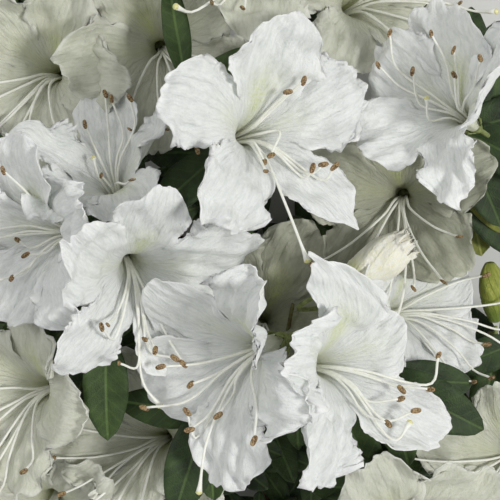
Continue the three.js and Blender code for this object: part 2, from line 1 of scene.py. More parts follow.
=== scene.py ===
"""A flowering branch cut from a white azalea, dressed for a close view from above.

The branch lies on its boughs with its blooms facing up. Sizes are in millimetres, in the layout of the
part's own source, and turn to metres in the part's frame where a mesh is built.
"""

import json
import logging
import math
from dataclasses import dataclass, field
from enum import Enum
from functools import partial
from typing import Callable, Iterator

import bpy
import numpy as np
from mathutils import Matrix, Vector
from mathutils.bvhtree import BVHTree


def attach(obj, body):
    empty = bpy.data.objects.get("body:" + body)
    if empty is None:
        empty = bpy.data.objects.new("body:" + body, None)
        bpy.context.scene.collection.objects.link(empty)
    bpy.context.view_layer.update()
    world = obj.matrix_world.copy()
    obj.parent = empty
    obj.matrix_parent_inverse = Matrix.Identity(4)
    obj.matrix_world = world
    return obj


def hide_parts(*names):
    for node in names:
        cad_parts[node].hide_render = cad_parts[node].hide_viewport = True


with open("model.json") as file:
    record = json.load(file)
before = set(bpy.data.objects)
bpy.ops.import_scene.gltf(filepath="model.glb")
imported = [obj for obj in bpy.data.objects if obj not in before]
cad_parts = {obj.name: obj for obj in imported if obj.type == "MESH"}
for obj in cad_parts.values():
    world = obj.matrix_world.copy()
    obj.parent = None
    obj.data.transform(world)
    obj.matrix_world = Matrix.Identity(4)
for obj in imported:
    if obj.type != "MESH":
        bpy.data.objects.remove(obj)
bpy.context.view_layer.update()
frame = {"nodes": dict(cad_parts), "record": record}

log = logging.getLogger("azalea")

Array = np.ndarray
Draws = np.random.Generator

MM = 0.001
TAU = 2 * math.pi
UP = np.array([0, 0, 1.0])
BODY = "root"
GOLDEN_ANGLE = 137.5
# The distance between two side veins of a leaf, and how steeply they run towards its tip
SIDE_VEINS_MM = 4.6
SIDE_VEIN_SLOPE = 0.9
# Faces across and along a leaf that is only tested for room
COARSE = (2, 5)
# Each point carries three tints: deep in the throat, on the blotch, and a painted highlight at the rim
TINTS = 3
# The centre of the stem's cut end in the layout; the record's mount gives the same point in the part
STEM_START = (10.0, -190.0, 3.4)


class Slot(Enum):
    """The record's material slots."""

    PETAL = "petal"
    BUD = "bud"
    LEAF = "leaf"
    BARK = "bark"


class Age(Enum):
    """How far a leaf has grown, which sets its colour."""

    MATURE = 0
    SUMMER = 1
    YOUNG = 2


class Seed(Enum):
    """Where each kind of piece starts counting its seeds."""

    PETALS = 40
    WOOD = 70
    SPRIGS = 77
    STAMENS = 400
    LEAVES = 500
    SPRIG_LEAVES = 600
    MORE_LEAVES = 900

    def draws(self, number: int = 0) -> Draws:
        """Returns the random numbers of a numbered piece, the same each run."""
        return np.random.default_rng(self.value + number)


def linear(code: str) -> tuple[float, float, float, float]:
    """Turns an sRGB hex colour into linear values.

    Args:
        code: The colour, such as "#f4f5ef".

    Returns:
        Red, green, blue and alpha, each from 0 to 1.
    """
    parts = [int(code[i:i + 2], 16) / 255 for i in (1, 3, 5)]
    flat = [c / 12.92 if c <= 0.04045 else ((c + 0.055) / 1.055) ** 2.4 for c in parts]
    return flat[0], flat[1], flat[2], 1.0


def smooth(value: Array) -> Array:
    """Returns the smooth step of values from 0 to 1."""
    held = np.clip(value, 0.0, 1.0)
    return held * held * (3 - 2 * held)


def bell(value: Array, width: float) -> Array:
    """Returns 1 where the value is 0, falling softly to 0 at about twice the width."""
    return np.exp(-(value / width) ** 2)


def unit(vector: Array) -> Array:
    """Returns a direction at length 1."""
    return vector / np.linalg.norm(vector)


def part_shift() -> Array:
    """Returns how far the layout moves to stand in the part's frame, in millimetres."""
    mount = next(m for m in frame["record"]["mounts"] if m["name"] == "cut_face")
    return np.array(mount["pos_m"]) / MM - np.array(STEM_START)


SHIFT = part_shift()


def source_random(seed: int) -> Callable[[], float]:
    """Makes the source's own random numbers.

    Args:
        seed: Where they start.

    Returns:
        A function that gives the next number, from 0 to 1.
    """
    state = seed * 7919 + 17

    def following() -> float:
        """Returns the next number."""
        nonlocal state
        state = (state * 16807) % 2147483647
        return state / 2147483647

    return following


def smooth_curve(points: list, count: int) -> Array:
    """Runs a centripetal curve through points and spaces points evenly along it.

    Args:
        points: The points it passes through, in millimetres.
        count: How many points to return.

    Returns:
        The points along the curve, one in each row.
    """
    given = np.array(points, float)
    ends = np.vstack([2 * given[0] - given[1], given, 2 * given[-1] - given[-2]])
    fine = []
    for k in range(len(given) - 1):
        p0, p1, p2, p3 = ends[k:k + 4]
        d0, d1, d2 = (max(np.linalg.norm(b - a) ** 0.5, 1e-4) for a, b in ((p0, p1), (p1, p2), (p2, p3)))
        t1 = ((p1 - p0) / d0 - (p2 - p0) / (d0 + d1) + (p2 - p1) / d1) * d1
        t2 = ((p2 - p1) / d1 - (p3 - p1) / (d1 + d2) + (p3 - p2) / d2) * d1
        u = np.linspace(0, 1, 40, endpoint=k == len(given) - 2)[:, None]
        fine.append(p1 + t1 * u + (-3 * p1 + 3 * p2 - 2 * t1 - t2) * u**2
                    + (2 * p1 - 2 * p2 + t1 + t2) * u**3)
    path = np.vstack(fine)
    run = np.concatenate([[0], np.cumsum(np.linalg.norm(np.diff(path, axis=0), axis=1))])
    even = np.linspace(0, run[-1], count)
    return np.column_stack([np.interp(even, run, path[:, i]) for i in range(3)])


def path_length(path: Array) -> float:
    """Returns the length of a path of points."""
    return float(np.linalg.norm(np.diff(path, axis=0), axis=1).sum())


def frames_along(path: Array) -> tuple[Array, Array, Array]:
    """Carries a frame along a path without twist.

    Args:
        path: The points of the path.

    Returns:
        The directions ahead, across and above at each point.
    """
    ahead = np.gradient(path, axis=0)
    ahead /= np.linalg.norm(ahead, axis=1, keepdims=True)
    across = np.zeros_like(path)
    first = np.cross(UP, ahead[0])
    across[0] = unit(first) if np.linalg.norm(first) > 0.2 else (1, 0, 0)
    for k in range(1, len(path)):
        across[k] = unit(across[k - 1] - ahead[k] * across[k - 1].dot(ahead[k]))
    return ahead, across, np.cross(ahead, across)


def tube(path: Array, radii: Array, sides: int) -> Array:
    """Lays rings round a path.

    Args:
        path: The points of the path.
        radii: The radius at each point, or at each point and side.
        sides: How many corners a ring has.

    Returns:
        The rings, as rows by sides by 3.
    """
    _, across, above = frames_along(path)
    turn = np.linspace(0, TAU, sides, endpoint=False)
    ring = across[:, None] * np.cos(turn)[None, :, None] + above[:, None] * np.sin(turn)[None, :, None]
    wide = radii if radii.ndim == 2 else radii[:, None]
    return path[:, None] + ring * wide[..., None]


def sheet_steps(columns: int, rows: int) -> tuple[Array, Array]:
    """Returns places from -1 to 1 across a sheet, in a row, and from 0 to 1 along it, in a column."""
    return np.linspace(-1, 1, columns + 1)[None, :], np.linspace(0, 1, rows + 1)[:, None]


def grid_quads(number: Array) -> Array:
    """Returns the four point numbers of each face of a grid of numbered points."""
    return np.stack([number[:-1, :-1], number[:-1, 1:], number[1:, 1:], number[1:, :-1]], -1).reshape(-1, 4)


@dataclass
class Surface:
    """Joined surfaces, collected as arrays and turned into one mesh.

    Each row of points holds a place, two pattern coordinates and three tints from 0 to 1.
    """

    points: list = field(default_factory=list)
    quads: list = field(default_factory=list)
    looks: list = field(default_factory=list)
    count: int = 0

    def add_grid(self, grid: Array, coords: Array = None, tints: Array = None, look: int = 0,
                 closed: bool = False) -> None:
        """Adds a grid of points as a sheet, or as a closed tube.

        Args:
            grid: The points, as rows by columns by 3.
            coords: Pattern coordinates, as rows by columns by 2.
            tints: Tints, as rows by columns by 3.
            look: The number of the faces' finish.
            closed: Joins the last column to the first and closes both ends.
        """
        rows, columns = grid.shape[:2]
        number = np.arange(rows * columns).reshape(rows, columns)
        if closed:
            number = np.hstack([number, number[:, :1]])
        quads = grid_quads(number)
        coords = np.zeros((rows, columns, 2)) if coords is None else coords
        tints = np.zeros((rows, columns, TINTS)) if tints is None else tints
        flat = np.concatenate([grid, coords, tints], -1).reshape(rows * columns, -1)
        for row, turned in ((0, True), (rows - 1, False)) if closed else ():
            ring = number[row]
            middle = np.full(columns, len(flat))
            first, second = (ring[1:], ring[:-1]) if turned else (ring[:-1], ring[1:])
            quads = np.vstack([quads, np.stack([first, second, middle, middle], -1)])
            flat = np.vstack([flat, np.concatenate([grid[row].mean(0), flat[ring[0], 3:]])])
        self.points.append(flat)
        self.quads.append(quads + self.count)
        self.looks.append(np.full(len(quads), look))
        self.count += len(flat)

    def add_tube(self, path: Array, radii: Array, sides: int, look: int = 0) -> None:
        """Adds a closed tube round a path, with a radius at each of its points."""
        self.add_grid(tube(path, radii, sides), look=look, closed=True)

    def build(self, name: str, finishes: list, weld: bool = False,
              thickness: float = 0.0) -> bpy.types.Object:
        """Makes the object.

        Args:
            name: The piece's name.
            finishes: Its materials, in the order of the faces' numbers.
            weld: Joins points that lie at the same place.
            thickness: Turns sheets into closed shells of this thickness, in millimetres.

        Returns:
            The finished piece, which rides on the branch.
        """
        points = np.vstack(self.points)
        corners = [list(dict.fromkeys(q)) for q in np.vstack(self.quads).tolist()]
        mesh = bpy.data.meshes.new(name)
        mesh.from_pydata(((points[:, :3] + SHIFT) * MM).tolist(), [], corners)
        loops = np.zeros(len(mesh.loops), np.int32)
        mesh.loops.foreach_get("vertex_index", loops)
        layer = mesh.uv_layers.new(name="tissue")
        layer.data.foreach_set("uv", points[loops, 3:5].ravel())
        tint = mesh.attributes.new("tint", "FLOAT_COLOR", "POINT")
        tint.data.foreach_set("color", np.column_stack([points[:, 5:], np.ones(len(points))]).ravel())
        mesh.polygons.foreach_set("material_index", np.concatenate(self.looks).astype(np.int32))
        mesh.polygons.foreach_set("use_smooth", np.ones(len(mesh.polygons), bool))
        for finish in finishes:
            mesh.materials.append(finish)
        piece = bpy.data.objects.new(name, mesh)
        bpy.context.collection.objects.link(piece)
        if weld:
            joined = piece.modifiers.new("weld", "WELD")
            joined.merge_threshold = 1e-6
        if thickness:
            shell = piece.modifiers.new("shell", "SOLIDIFY")
            shell.thickness = thickness * MM
            shell.offset = 0.0
        settle(piece)
        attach(piece, BODY)
        log.info("%s: %d faces", name, len(piece.data.polygons))
        return piece


def settle(piece: bpy.types.Object) -> None:
    """Applies a piece's modifiers to its mesh, where it has any.

    Args:
        piece: The piece.
    """
    if not piece.modifiers:
        return
    view = bpy.context.evaluated_depsgraph_get()
    view.update()
    seen = piece.evaluated_get(view)
    made = bpy.data.meshes.new_from_object(seen, preserve_all_data_layers=True, depsgraph=view)
    piece.modifiers.clear()
    piece.data = made


def solid_tree(node: str) -> BVHTree:
    """Returns a search tree of the faces of one of the part's own solids."""
    mesh = frame["nodes"][node].data
    return BVHTree.FromPolygons([v.co for v in mesh.vertices], [tuple(p.vertices) for p in mesh.polygons])


def sheet_tree(points: Array) -> BVHTree:
    """Returns a search tree of the faces of a grid of layout points."""
    number = np.arange(points.size // 3).reshape(points.shape[:2])
    return BVHTree.FromPolygons(((points.reshape(-1, 3) + SHIFT) * MM).tolist(), grid_quads(number).tolist())


class Waves:
    """Smooth seeded unevenness: a sum of a few waves in two directions.

    A set of waves is written as a tuple: how many, the longest and the shortest, in millimetres.
    """

    def __init__(self, random: Draws, count: int, longest: float, shortest: float) -> None:
        """Draws a set of waves.

        Args:
            random: The source of random numbers.
            count: How many waves are summed.
            longest: The longest wave.
            shortest: The shortest wave.
        """
        length = longest * (shortest / longest) ** random.random(count)
        turn = random.random(count) * TAU
        self.x = np.cos(turn) * TAU / length
        self.y = np.sin(turn) * TAU / length
        self.phase = random.random(count) * TAU
        self.scale = (2 / count) ** 0.5

    def at(self, x: Array, y: Array) -> Array:
        """Returns the unevenness at places x, y, about from -1 to 1."""
        waves = np.sin(x[..., None] * self.x + y[..., None] * self.y + self.phase)
        return waves.sum(-1) * self.scale


def add_node(tree: bpy.types.NodeTree, kind: str, inputs: dict = None, **options) -> bpy.types.Node:
    """Adds a shader node with its options and inputs.

    Args:
        tree: The material's node tree.
        kind: The node's type name, without the word that all of them start with.
        inputs: Values, sockets or nodes by input name or number; a node gives its first output in use.
        options: The node's own settings.

    Returns:
        The new node.
    """
    node = tree.nodes.new("ShaderNode" + kind)
    for key, value in options.items():
        setattr(node, key, value)
    for key, value in (inputs or {}).items():
        if isinstance(value, bpy.types.Node):
            value = next(output for output in value.outputs if output.enabled)
        if isinstance(value, bpy.types.NodeSocket):
            tree.links.new(value, node.inputs[key])
        else:
            node.inputs[key].default_value = value
    return node


@dataclass(frozen=True)
class Finish:
    """A real material: its name, and the nodes that draw its surface."""

    name: str

    def inputs(self, add: Callable) -> dict:
        """Adds the nodes that draw the surface, and returns the shader's inputs."""
        raise NotImplementedError

    def material(self) -> bpy.types.Material:
        """Makes the material.

        Returns:
            The finished material.
        """
        material = bpy.data.materials.new(self.name)
        material.use_nodes = True
        material.node_tree.nodes.clear()
        add = partial(add_node, material.node_tree)
        add("OutputMaterial", {0: add("BsdfPrincipled", self.inputs(add))})
        return material


@dataclass(frozen=True)
class PetalTissue(Finish):
    """Living azalea petal, grown thin and white: light from above fills it, so its shadows stay pale."""

    white: str = "#f1f3f1"
    shade: str = "#dbdfdd"
    # A brighter white along the rim: a painted highlight where light shines through the thin margin
    edge: str = "#fdfefd"
    throat: str = "#f0f4d6"
    blotch: str = "#cdd68c"
    roughness: float = 0.5
    glow: float = 0.4
    glow_depth_mm: float = 0.9
    veins: float = 9.0
    vein_wander_mm: float = 6.25
    crumple_mm: float = 2.4
    grain_mm: float = 1.1
    cell_mm: float = 0.45
    relief_mm: float = 0.95
    half_width_mm: float = 14.5
    stretch: float = 0.4

    def inputs(self, add: Callable) -> dict:
        """Draws pale veins along each lobe, fine crumples between them, a specked green blotch and a painted
        highlight at the rim.

        Args:
            add: Adds a node to the material.

        Returns:
            The shader's inputs.
        """
        place = add("UVMap", uv_map="tissue")
        solid = add("TexCoord").outputs["Object"]
        across = add("SeparateXYZ", {0: place}).outputs[0]
        deep, blotch, rim = add("SeparateColor", {0: add("Attribute", attribute_name="tint")}).outputs
        # Veins fan out from the throat and wander a little
        wander = add("TexNoise", {"Vector": place, "Scale": 1 / self.vein_wander_mm, "Detail": 2.0})
        fan = add("Math", {0: across, 1: self.veins}, operation="MULTIPLY")
        bent = add("Math", {0: wander, 1: 0.9, 2: fan}, operation="MULTIPLY_ADD")
        wave = add("Math", {0: bent, 1: 1.0}, operation="PINGPONG")
        vein = add("MapRange", {0: wave, 1: 0.0, 2: 0.4, 3: 1.0, 4: 0.0}, interpolation_type="SMOOTHSTEP")
        # Crumples run long down the lobe, and single cells roughen them
        drawn = add("VectorMath", {0: place, 1: (self.half_width_mm, self.stretch, 1)}, operation="MULTIPLY")
        crumple = add("TexNoise", {
            "Vector": drawn, "Scale": 1 / self.crumple_mm, "Detail": 4.0, "Roughness": 0.6})
        cells = add("TexNoise", {"Vector": solid, "Scale": 1 / (self.cell_mm * MM), "Detail": 1.0})
        rough = add("Math", {0: cells, 1: 0.2, 2: crumple}, operation="MULTIPLY_ADD")
        height = add("Math", {0: vein, 1: 0.12, 2: rough}, operation="MULTIPLY_ADD")
        bump = add("Bump", {"Height": height, "Strength": 1.0, "Distance": self.relief_mm * MM})
        # Veins and a fine mottle shade the white
        grain = add("TexNoise", {"Vector": drawn, "Scale": 1 / self.grain_mm, "Detail": 5, "Roughness": 0.6})
        mottle = add("MapRange", {0: grain, 1: 0.4, 2: 0.7, 3: 0.0, 4: 0.8})
        lined = add("Math", {0: vein, 1: 0.25, 2: mottle}, operation="MULTIPLY_ADD", use_clamp=True)
        # The blotch breaks up into specks
        specks = add("TexNoise", {"Vector": solid, "Scale": 1 / (self.grain_mm * MM)})
        speckled = add("MapRange", {0: specks, 1: 0.38, 2: 0.66, 3: 0.45, 4: 1.0})
        amount = add("Math", {0: blotch, 1: speckled}, operation="MULTIPLY")
        colour = linear(self.white)
        # The last layer paints a highlight along the rim
        layers = ((lined, self.shade), (deep, self.throat), (amount, self.blotch), (rim, self.edge))
        for share, over in layers:
            colour = add("Mix", {0: share, 6: colour, 7: linear(over)}, data_type="RGBA")
        return {"Base Color": colour, "Roughness": self.roughness, "IOR": 1.4, "Normal": bump,
                "Subsurface Weight": self.glow, "Subsurface Scale": self.glow_depth_mm * MM,
                "Subsurface Radius": (1.0, 1.0, 0.85), "Sheen Weight": 0.08, "Sheen Roughness": 0.5}


class Petals(Enum):
    """The finish of a bloom's petals: fresh; older, which is creamier and darkened by painted shade; or a
    deep painted shade.
    """

    FRESH = PetalTissue("azalea_petal")
    # Creamier, as older petals are, and darker: painted shade for the blooms that lie behind
    OLDER = PetalTissue("older_azalea_petal_painted_shade", "#d6d7c9", "#c6c8b8", "#e4e5da", "#d4d8b2")
    # Darker grey-olive: painted shade for the blooms deep in the crown's shadow
    PAINTED_DEEP_SHADE = PetalTissue("painted_deep_shade_azalea_petal", "#aeafa0", "#9c9e8d", "#c0c1b2", "#aeb08e")


@dataclass(frozen=True)
class GrownTissue(Finish):
    """Stalks, filaments, anthers and other small parts, grown in one colour: mottled, so never plain."""

    colour: str
    darker: str
    grain_mm: float = 1.5
    roughness: float = 0.5
    relief_mm: float = 0.1

    def inputs(self, add: Callable) -> dict:
        """Draws a mottle between its two colours, raised a little where it is darker.

        Args:
            add: Adds a node to the material.

        Returns:
            The shader's inputs.
        """
        solid = add("TexCoord").outputs["Object"]
        mottle = add("TexNoise", {"Vector": solid, "Scale": 1 / (self.grain_mm * MM), "Detail": 3.0})
        spread = add("MapRange", {0: mottle, 1: 0.35, 2: 0.65})
        colour = add("Mix", {0: spread, 6: linear(self.colour), 7: linear(self.darker)}, data_type="RGBA")
        bump = add("Bump", {"Height": mottle, "Strength": 0.5, "Distance": self.relief_mm * MM})
        return {"Base Color": colour, "Roughness": self.roughness, "IOR": 1.4, "Normal": bump}


@dataclass(frozen=True)
class LeafTissue(Finish):
    """Azalea leaf, grown leathery and softly haired: the hairs dull its gloss, and the veins quilt it."""

    blade: str
    dark: str
    rib: str
    roughness: float = 0.58
    vein_wander_mm: float = 4
    mottle_mm: float = 6
    hair_mm: float = 0.5
    relief_mm: float = 0.5

    def inputs(self, add: Callable) -> dict:
        """Draws a pale midrib and sunken side veins on a mottled green.

        Args:
            add: Adds a node to the material.

        Returns:
            The shader's inputs.
        """
        place = add("UVMap", uv_map="tissue")
        solid = add("TexCoord").outputs["Object"]
        across, along, _ = add("SeparateXYZ", {0: place}).outputs
        side = add("Math", {0: across}, operation="ABSOLUTE")
        slope = add("Math", {0: side, 1: -SIDE_VEIN_SLOPE, 2: along}, operation="MULTIPLY_ADD")
        wander = add("TexNoise", {"Vector": place, "Scale": 1 / self.vein_wander_mm})
        bent = add("Math", {0: wander, 1: 2.5, 2: slope}, operation="MULTIPLY_ADD")
        wave = add("Math", {0: bent, 1: SIDE_VEINS_MM / 2}, operation="PINGPONG")
        vein = add("MapRange", {0: wave, 1: 0.0, 2: 0.7, 3: 1.0, 4: 0.0}, interpolation_type="SMOOTHSTEP")
        rib = add("MapRange", {0: side, 1: 0.15, 2: 0.75, 3: 1.0, 4: 0.0}, interpolation_type="SMOOTHSTEP")
        mottle = add("TexNoise", {"Vector": solid, "Scale": 1 / (self.mottle_mm * MM), "Detail": 4.0})
        hairs = add("TexNoise", {"Vector": solid, "Scale": 1 / (self.hair_mm * MM), "Detail": 2.0})
        spread = add("MapRange", {0: mottle, 1: 0.3, 2: 0.7})
        green = add("Mix", {0: spread, 6: linear(self.blade), 7: linear(self.dark)}, data_type="RGBA")
        both = add("Math", {0: vein, 1: 0.22, 2: rib}, operation="MULTIPLY_ADD")
        amount = add("Math", {0: both, 1: 0.8}, operation="MULTIPLY", use_clamp=True)
        colour = add("Mix", {0: amount, 6: green, 7: linear(self.rib)}, data_type="RGBA")
        sunk = add("Math", {0: both, 1: -0.7, 2: hairs}, operation="MULTIPLY_ADD")
        bump = add("Bump", {"Height": sunk, "Strength": 0.6, "Distance": self.relief_mm * MM})
        return {"Base Color": colour, "Roughness": self.roughness, "IOR": 1.45, "Normal": bump,
                "Sheen Weight": 0.12, "Sheen Roughness": 0.5}


@dataclass(frozen=True)
class Bark(Finish):
    """Azalea bark, grown thin and brown: fine cracks run along the wood, between paler flakes."""

    name: str = "azalea_bark"
    brown: str = "#5a3a2a"
    pale: str = "#8b6a52"
    crack: str = "#2a1710"
    roughness: float = 0.82
    relief_mm: float = 0.5

    def inputs(self, add: Callable) -> dict:
        """Draws streaks along the limb, and dark gaps between its flakes.

        Args:
            add: Adds a node to the material.

        Returns:
            The shader's inputs.
        """
        place = add("UVMap", uv_map="tissue")
        long = add("VectorMath", {0: place, 1: (1.4, 0.22, 1.0)}, operation="MULTIPLY")
        streak = add("TexNoise", {"Vector": long, "Scale": 1.0, "Detail": 5.0, "Roughness": 0.65})
        flakes = add("TexVoronoi", {"Vector": long, "Scale": 0.6})
        spread = add("MapRange", {0: streak, 1: 0.4, 2: 0.68})
        wood = add("Mix", {0: spread, 6: linear(self.brown), 7: linear(self.pale)}, data_type="RGBA")
        gap = add("MapRange", {0: flakes, 1: 0.45, 2: 0.8, 3: 0.0, 4: 0.8})
        colour = add("Mix", {0: gap, 6: wood, 7: linear(self.crack)}, data_type="RGBA")
        height = add("Math", {0: gap, 1: -0.8, 2: streak}, operation="MULTIPLY_ADD")
        bump = add("Bump", {"Height": height, "Strength": 0.9, "Distance": self.relief_mm * MM})
        return {"Base Color": colour, "Roughness": self.roughness, "Normal": bump}


@dataclass(frozen=True)
class FloorPaper(Finish):
    """Pale matte paper under the branch: one plain colour, which shows the shadows softly."""

    name: str = "floor_paper"
    colour: str = "#dcdcda"
    roughness: float = 0.9

    def inputs(self, add: Callable) -> dict:
        """Gives the paper its one colour, with no node but the shader."""
        return {"Base Color": linear(self.colour), "Roughness": self.roughness}


@dataclass(frozen=True)
class LobeForm:
    """How one lobe of a corolla departs from the plain form.

    Attributes:
        curl: How much further its tip turns back, in degrees.
        keel: How steeply its halves rise from the midrib, as a slope.
        wide: Its width, as a share of the plain one.
        long: Its length, as a share of the plain one.
        frill: The size of its waves and crinkles, as a share of the plain ones.
        point: How far its tip is drawn out, in millimetres.
        sweep: How far it bends sideways, in degrees.
    """

    curl: float = 6
    keel: float = 0
    wide: float = 1
    long: float = 1
    frill: float = 1
    point: float = 0
    sweep: float = 0


@dataclass
class Corolla:
    """The petals of an azalea bloom: a funnel that opens into five wavy lobes."""

    lobes: int = 5
    tube_height: float = 20
    foot_radius: float = 2.1
    swell: float = 1.4
    flare: float = 7.5
    flare_power: float = 3.2
    flutes: float = 0.25
    rim_angle: float = math.atan((3.4 + 3 * 5.5) / 20)
    lobe_length: float = 29
    lobe_width: float = 29
    thickness: float = 0.3
    tip_fall: float = 0.42
    tip_roundness: float = 2.6
    widest_at: float = 0.48
    tip_narrowing: float = 0.22
    point_width: float = 0.17
    edge_lift: float = 2.1
    cross_curve: float = 0.012
    veins: tuple = (-0.78, -0.52, -0.27, 0.0, 0.26, 0.53, 0.77)
    vein_depth: float = 0.14
    midrib: float = 3.6
    vein_width: float = 0.06
    frill: float = 1.7
    frill_zone: float = 8
    crinkle: float = 0.5
    crinkle_zone: float = 3
    ragged: float = 0.42
    uneven: float = 0.9
    dents: float = 0.62
    ragged_waves: tuple = (7, 5.5, 2.4)
    uneven_waves: tuple = (3, 17, 9)
    frill_waves: tuple = (4, 19, 10)
    crinkle_waves: tuple = (8, 5.5, 2.8)
    dent_waves: tuple = (8, 13, 4)
    rim_highlight_width: float = 1.3
    throat_depth: float = 18
    spot_length: float = 9
    spot_width: float = 0.5
    spot_strength: float = 0.7
    spotted: tuple = (1.0, 0.35, 0, 0, 0.35)
    pattern_step: float = 7.0

    def tube_radius(self, height: Array) -> Array:
        """Returns the funnel's radius at a height above its foot."""
        share = height / self.tube_height
        return self.foot_radius + self.swell * share + self.flare * share**self.flare_power

    @property
    def rim(self) -> float:
        """The funnel's radius at its rim."""
        return float(self.tube_radius(np.array(self.tube_height)))

    def half_width(self, share: Array) -> Array:
        """Works out half of a lobe's width.

        Args:
            share: Shares of the lobe's length.

        Returns:
            Half its width there.
        """
        root = self.rim * math.pi / self.lobes
        full = self.lobe_width / 2
        rising = root + (full - root) * np.sin(np.clip(share / self.widest_at, 0, 1) * math.pi / 2)
        falling = full * (1 - self.tip_narrowing * ((share - self.widest_at) / (1 - self.widest_at)) ** 2)
        return np.where(share < self.widest_at, rising, falling)

    def outline(self, form: LobeForm, across: Array, along: Array, random: Draws) -> tuple[Array, Array]:
        """Lays out a lobe flat, with its ragged margin.

        Args:
            form: The lobe's form.
            across: From -1 to 1 across the lobe.
            along: From 0 at the rim to 1 at the tip.
            random: The source of random numbers.

        Returns:
            Distances sideways and along the lobe.
        """
        edge = np.abs(across)
        length = self.lobe_length * form.long
        fine, broad = (Waves(random, *waves) for waves in (self.ragged_waves, self.uneven_waves))
        side_at, along_at = across * self.lobe_width / 2, along * length
        margin = self.ragged * fine.at(side_at, along_at) + self.uneven * broad.at(side_at, along_at)
        ragged = margin * form.frill
        # The lobe is rounded off towards its tip, which may be drawn out
        run = along * length * (1 - self.tip_fall * edge**self.tip_roundness)
        run = run + (ragged + form.point * bell(across, self.point_width)) * along**5
        widened = 1 + (form.wide - 1) * smooth(along / 0.4)
        side = across * self.half_width(np.clip(run / length, 0, 1.05)) * widened
        return side + np.sign(across) * ragged * edge**6 * smooth((along - 0.15) / 0.3), run

    def relief(self, form: LobeForm, across: Array, along: Array, side: Array, run: Array,
               random: Draws) -> Array:
        """Works out how far a lobe's surface rises: edges, waves, crinkles, dents and sunken veins.

        Args:
            form: The lobe's form.
            across: From -1 to 1 across the lobe.
            along: From 0 at the rim to 1 at the tip.
            side: Distances sideways.
            run: Distances along.
            random: The source of random numbers.

        Returns:
            The rise at each point, in millimetres.
        """
        share = run / self.lobe_length
        edge = np.abs(across)
        gap = np.minimum((1 - edge) * self.lobe_width / 2, (1 - along) * self.lobe_length * 0.8)
        sets = (self.frill_waves, self.crinkle_waves, self.dent_waves)
        wave, crinkle, dent = (Waves(random, *waves) for waves in sets)
        # Each bloom's edges overlap the same way round, and the waves are strongest along them
        free = smooth((share - 0.08) / 0.35)
        rise = self.edge_lift * across * edge * smooth(share * 2)
        rise = rise + form.keel * (np.sqrt(side**2 + 1.5) - 1.22) * smooth(share / 0.4)
        rise = rise + form.frill * self.frill * wave.at(side, run) * bell(gap, self.frill_zone) * free
        rise = rise + form.frill * self.crinkle * crinkle.at(side, run) * bell(gap, self.crinkle_zone) * free
        rise = rise + self.dents * (0.5 + 0.5 * form.frill) * dent.at(side, run * 0.5) * smooth(share / 0.25)
        # The veins are sunk, the midrib most, and fade out towards the tip
        for vein in self.veins:
            path = vein + 0.05 * (random.random() - 0.5) + 0.02 * np.sin(run / 4 + TAU * random.random())
            deep = self.vein_depth * (self.midrib if vein == 0 else 1)
            deep = deep * (1 - 0.6 * smooth((share - 0.4) / 0.6)) * (0.35 + 0.65 * form.frill)
            rise = rise - deep * bell(across - path, self.vein_width) * smooth(share / 0.1)
        return rise

    def lobe(self, opening: float, form: LobeForm, across: Array, along: Array,
             random: Draws) -> tuple[Array, Array]:
        """Lays out one lobe above the rim.

        Args:
            opening: The lobe's angle from the axis at its tip, in degrees.
            form: The lobe's form.
            across: From -1 to 1 across the lobe.
            along: From 0 at the rim to 1 at the tip.
            random: The source of random numbers.

        Returns:
            The lobe's points, and their distances along it.
        """
        side, run = self.outline(form, across, along, random)
        share = run / self.lobe_length
        # The midrib's curve, as a table from the rim outwards
        table = np.linspace(0, self.lobe_length * 1.4, 160)
        steps = table / self.lobe_length
        angles = self.rim_angle + (math.radians(opening) - self.rim_angle) * steps
        angles = angles + math.radians(form.curl) * smooth((steps - 0.55) / 0.5)
        outs = self.rim + np.concatenate([[0], np.cumsum(np.sin(angles))[:-1] * table[1]])
        ups = self.tube_height + np.concatenate([[0], np.cumsum(np.cos(angles))[:-1] * table[1]])
        angle, out, up = (np.interp(run, table, values) for values in (angles, outs, ups))
        # Across, the lobe is curved as the funnel is at first, and almost flat further out
        curve = (1 - smooth(share / 0.35)) / self.rim + self.cross_curve + 0.01 * (random.random() - 0.5)
        bulge = (1 - np.cos(curve * side)) / curve + self.relief(form, across, along, side, run, random)
        blend = smooth(share / 0.25)
        sideways = np.sin(curve * side) / curve + math.radians(form.sweep) * run**2 / (2 * self.lobe_length)
        shaped = [sideways, out - bulge * np.cos(angle * blend), up + bulge * np.sin(angle) * blend]
        # At the rim, the lobe still follows the funnel
        azimuth = across * math.pi / self.lobes
        plain = self.rim + run * math.sin(self.rim_angle)
        flat = [np.sin(azimuth) * plain, np.cos(azimuth) * plain,
                self.tube_height + run * math.cos(self.rim_angle)]
        free = smooth(share / 0.16)[..., None]
        return np.stack(flat, -1) * (1 - free) + np.stack(shaped, -1) * free, run

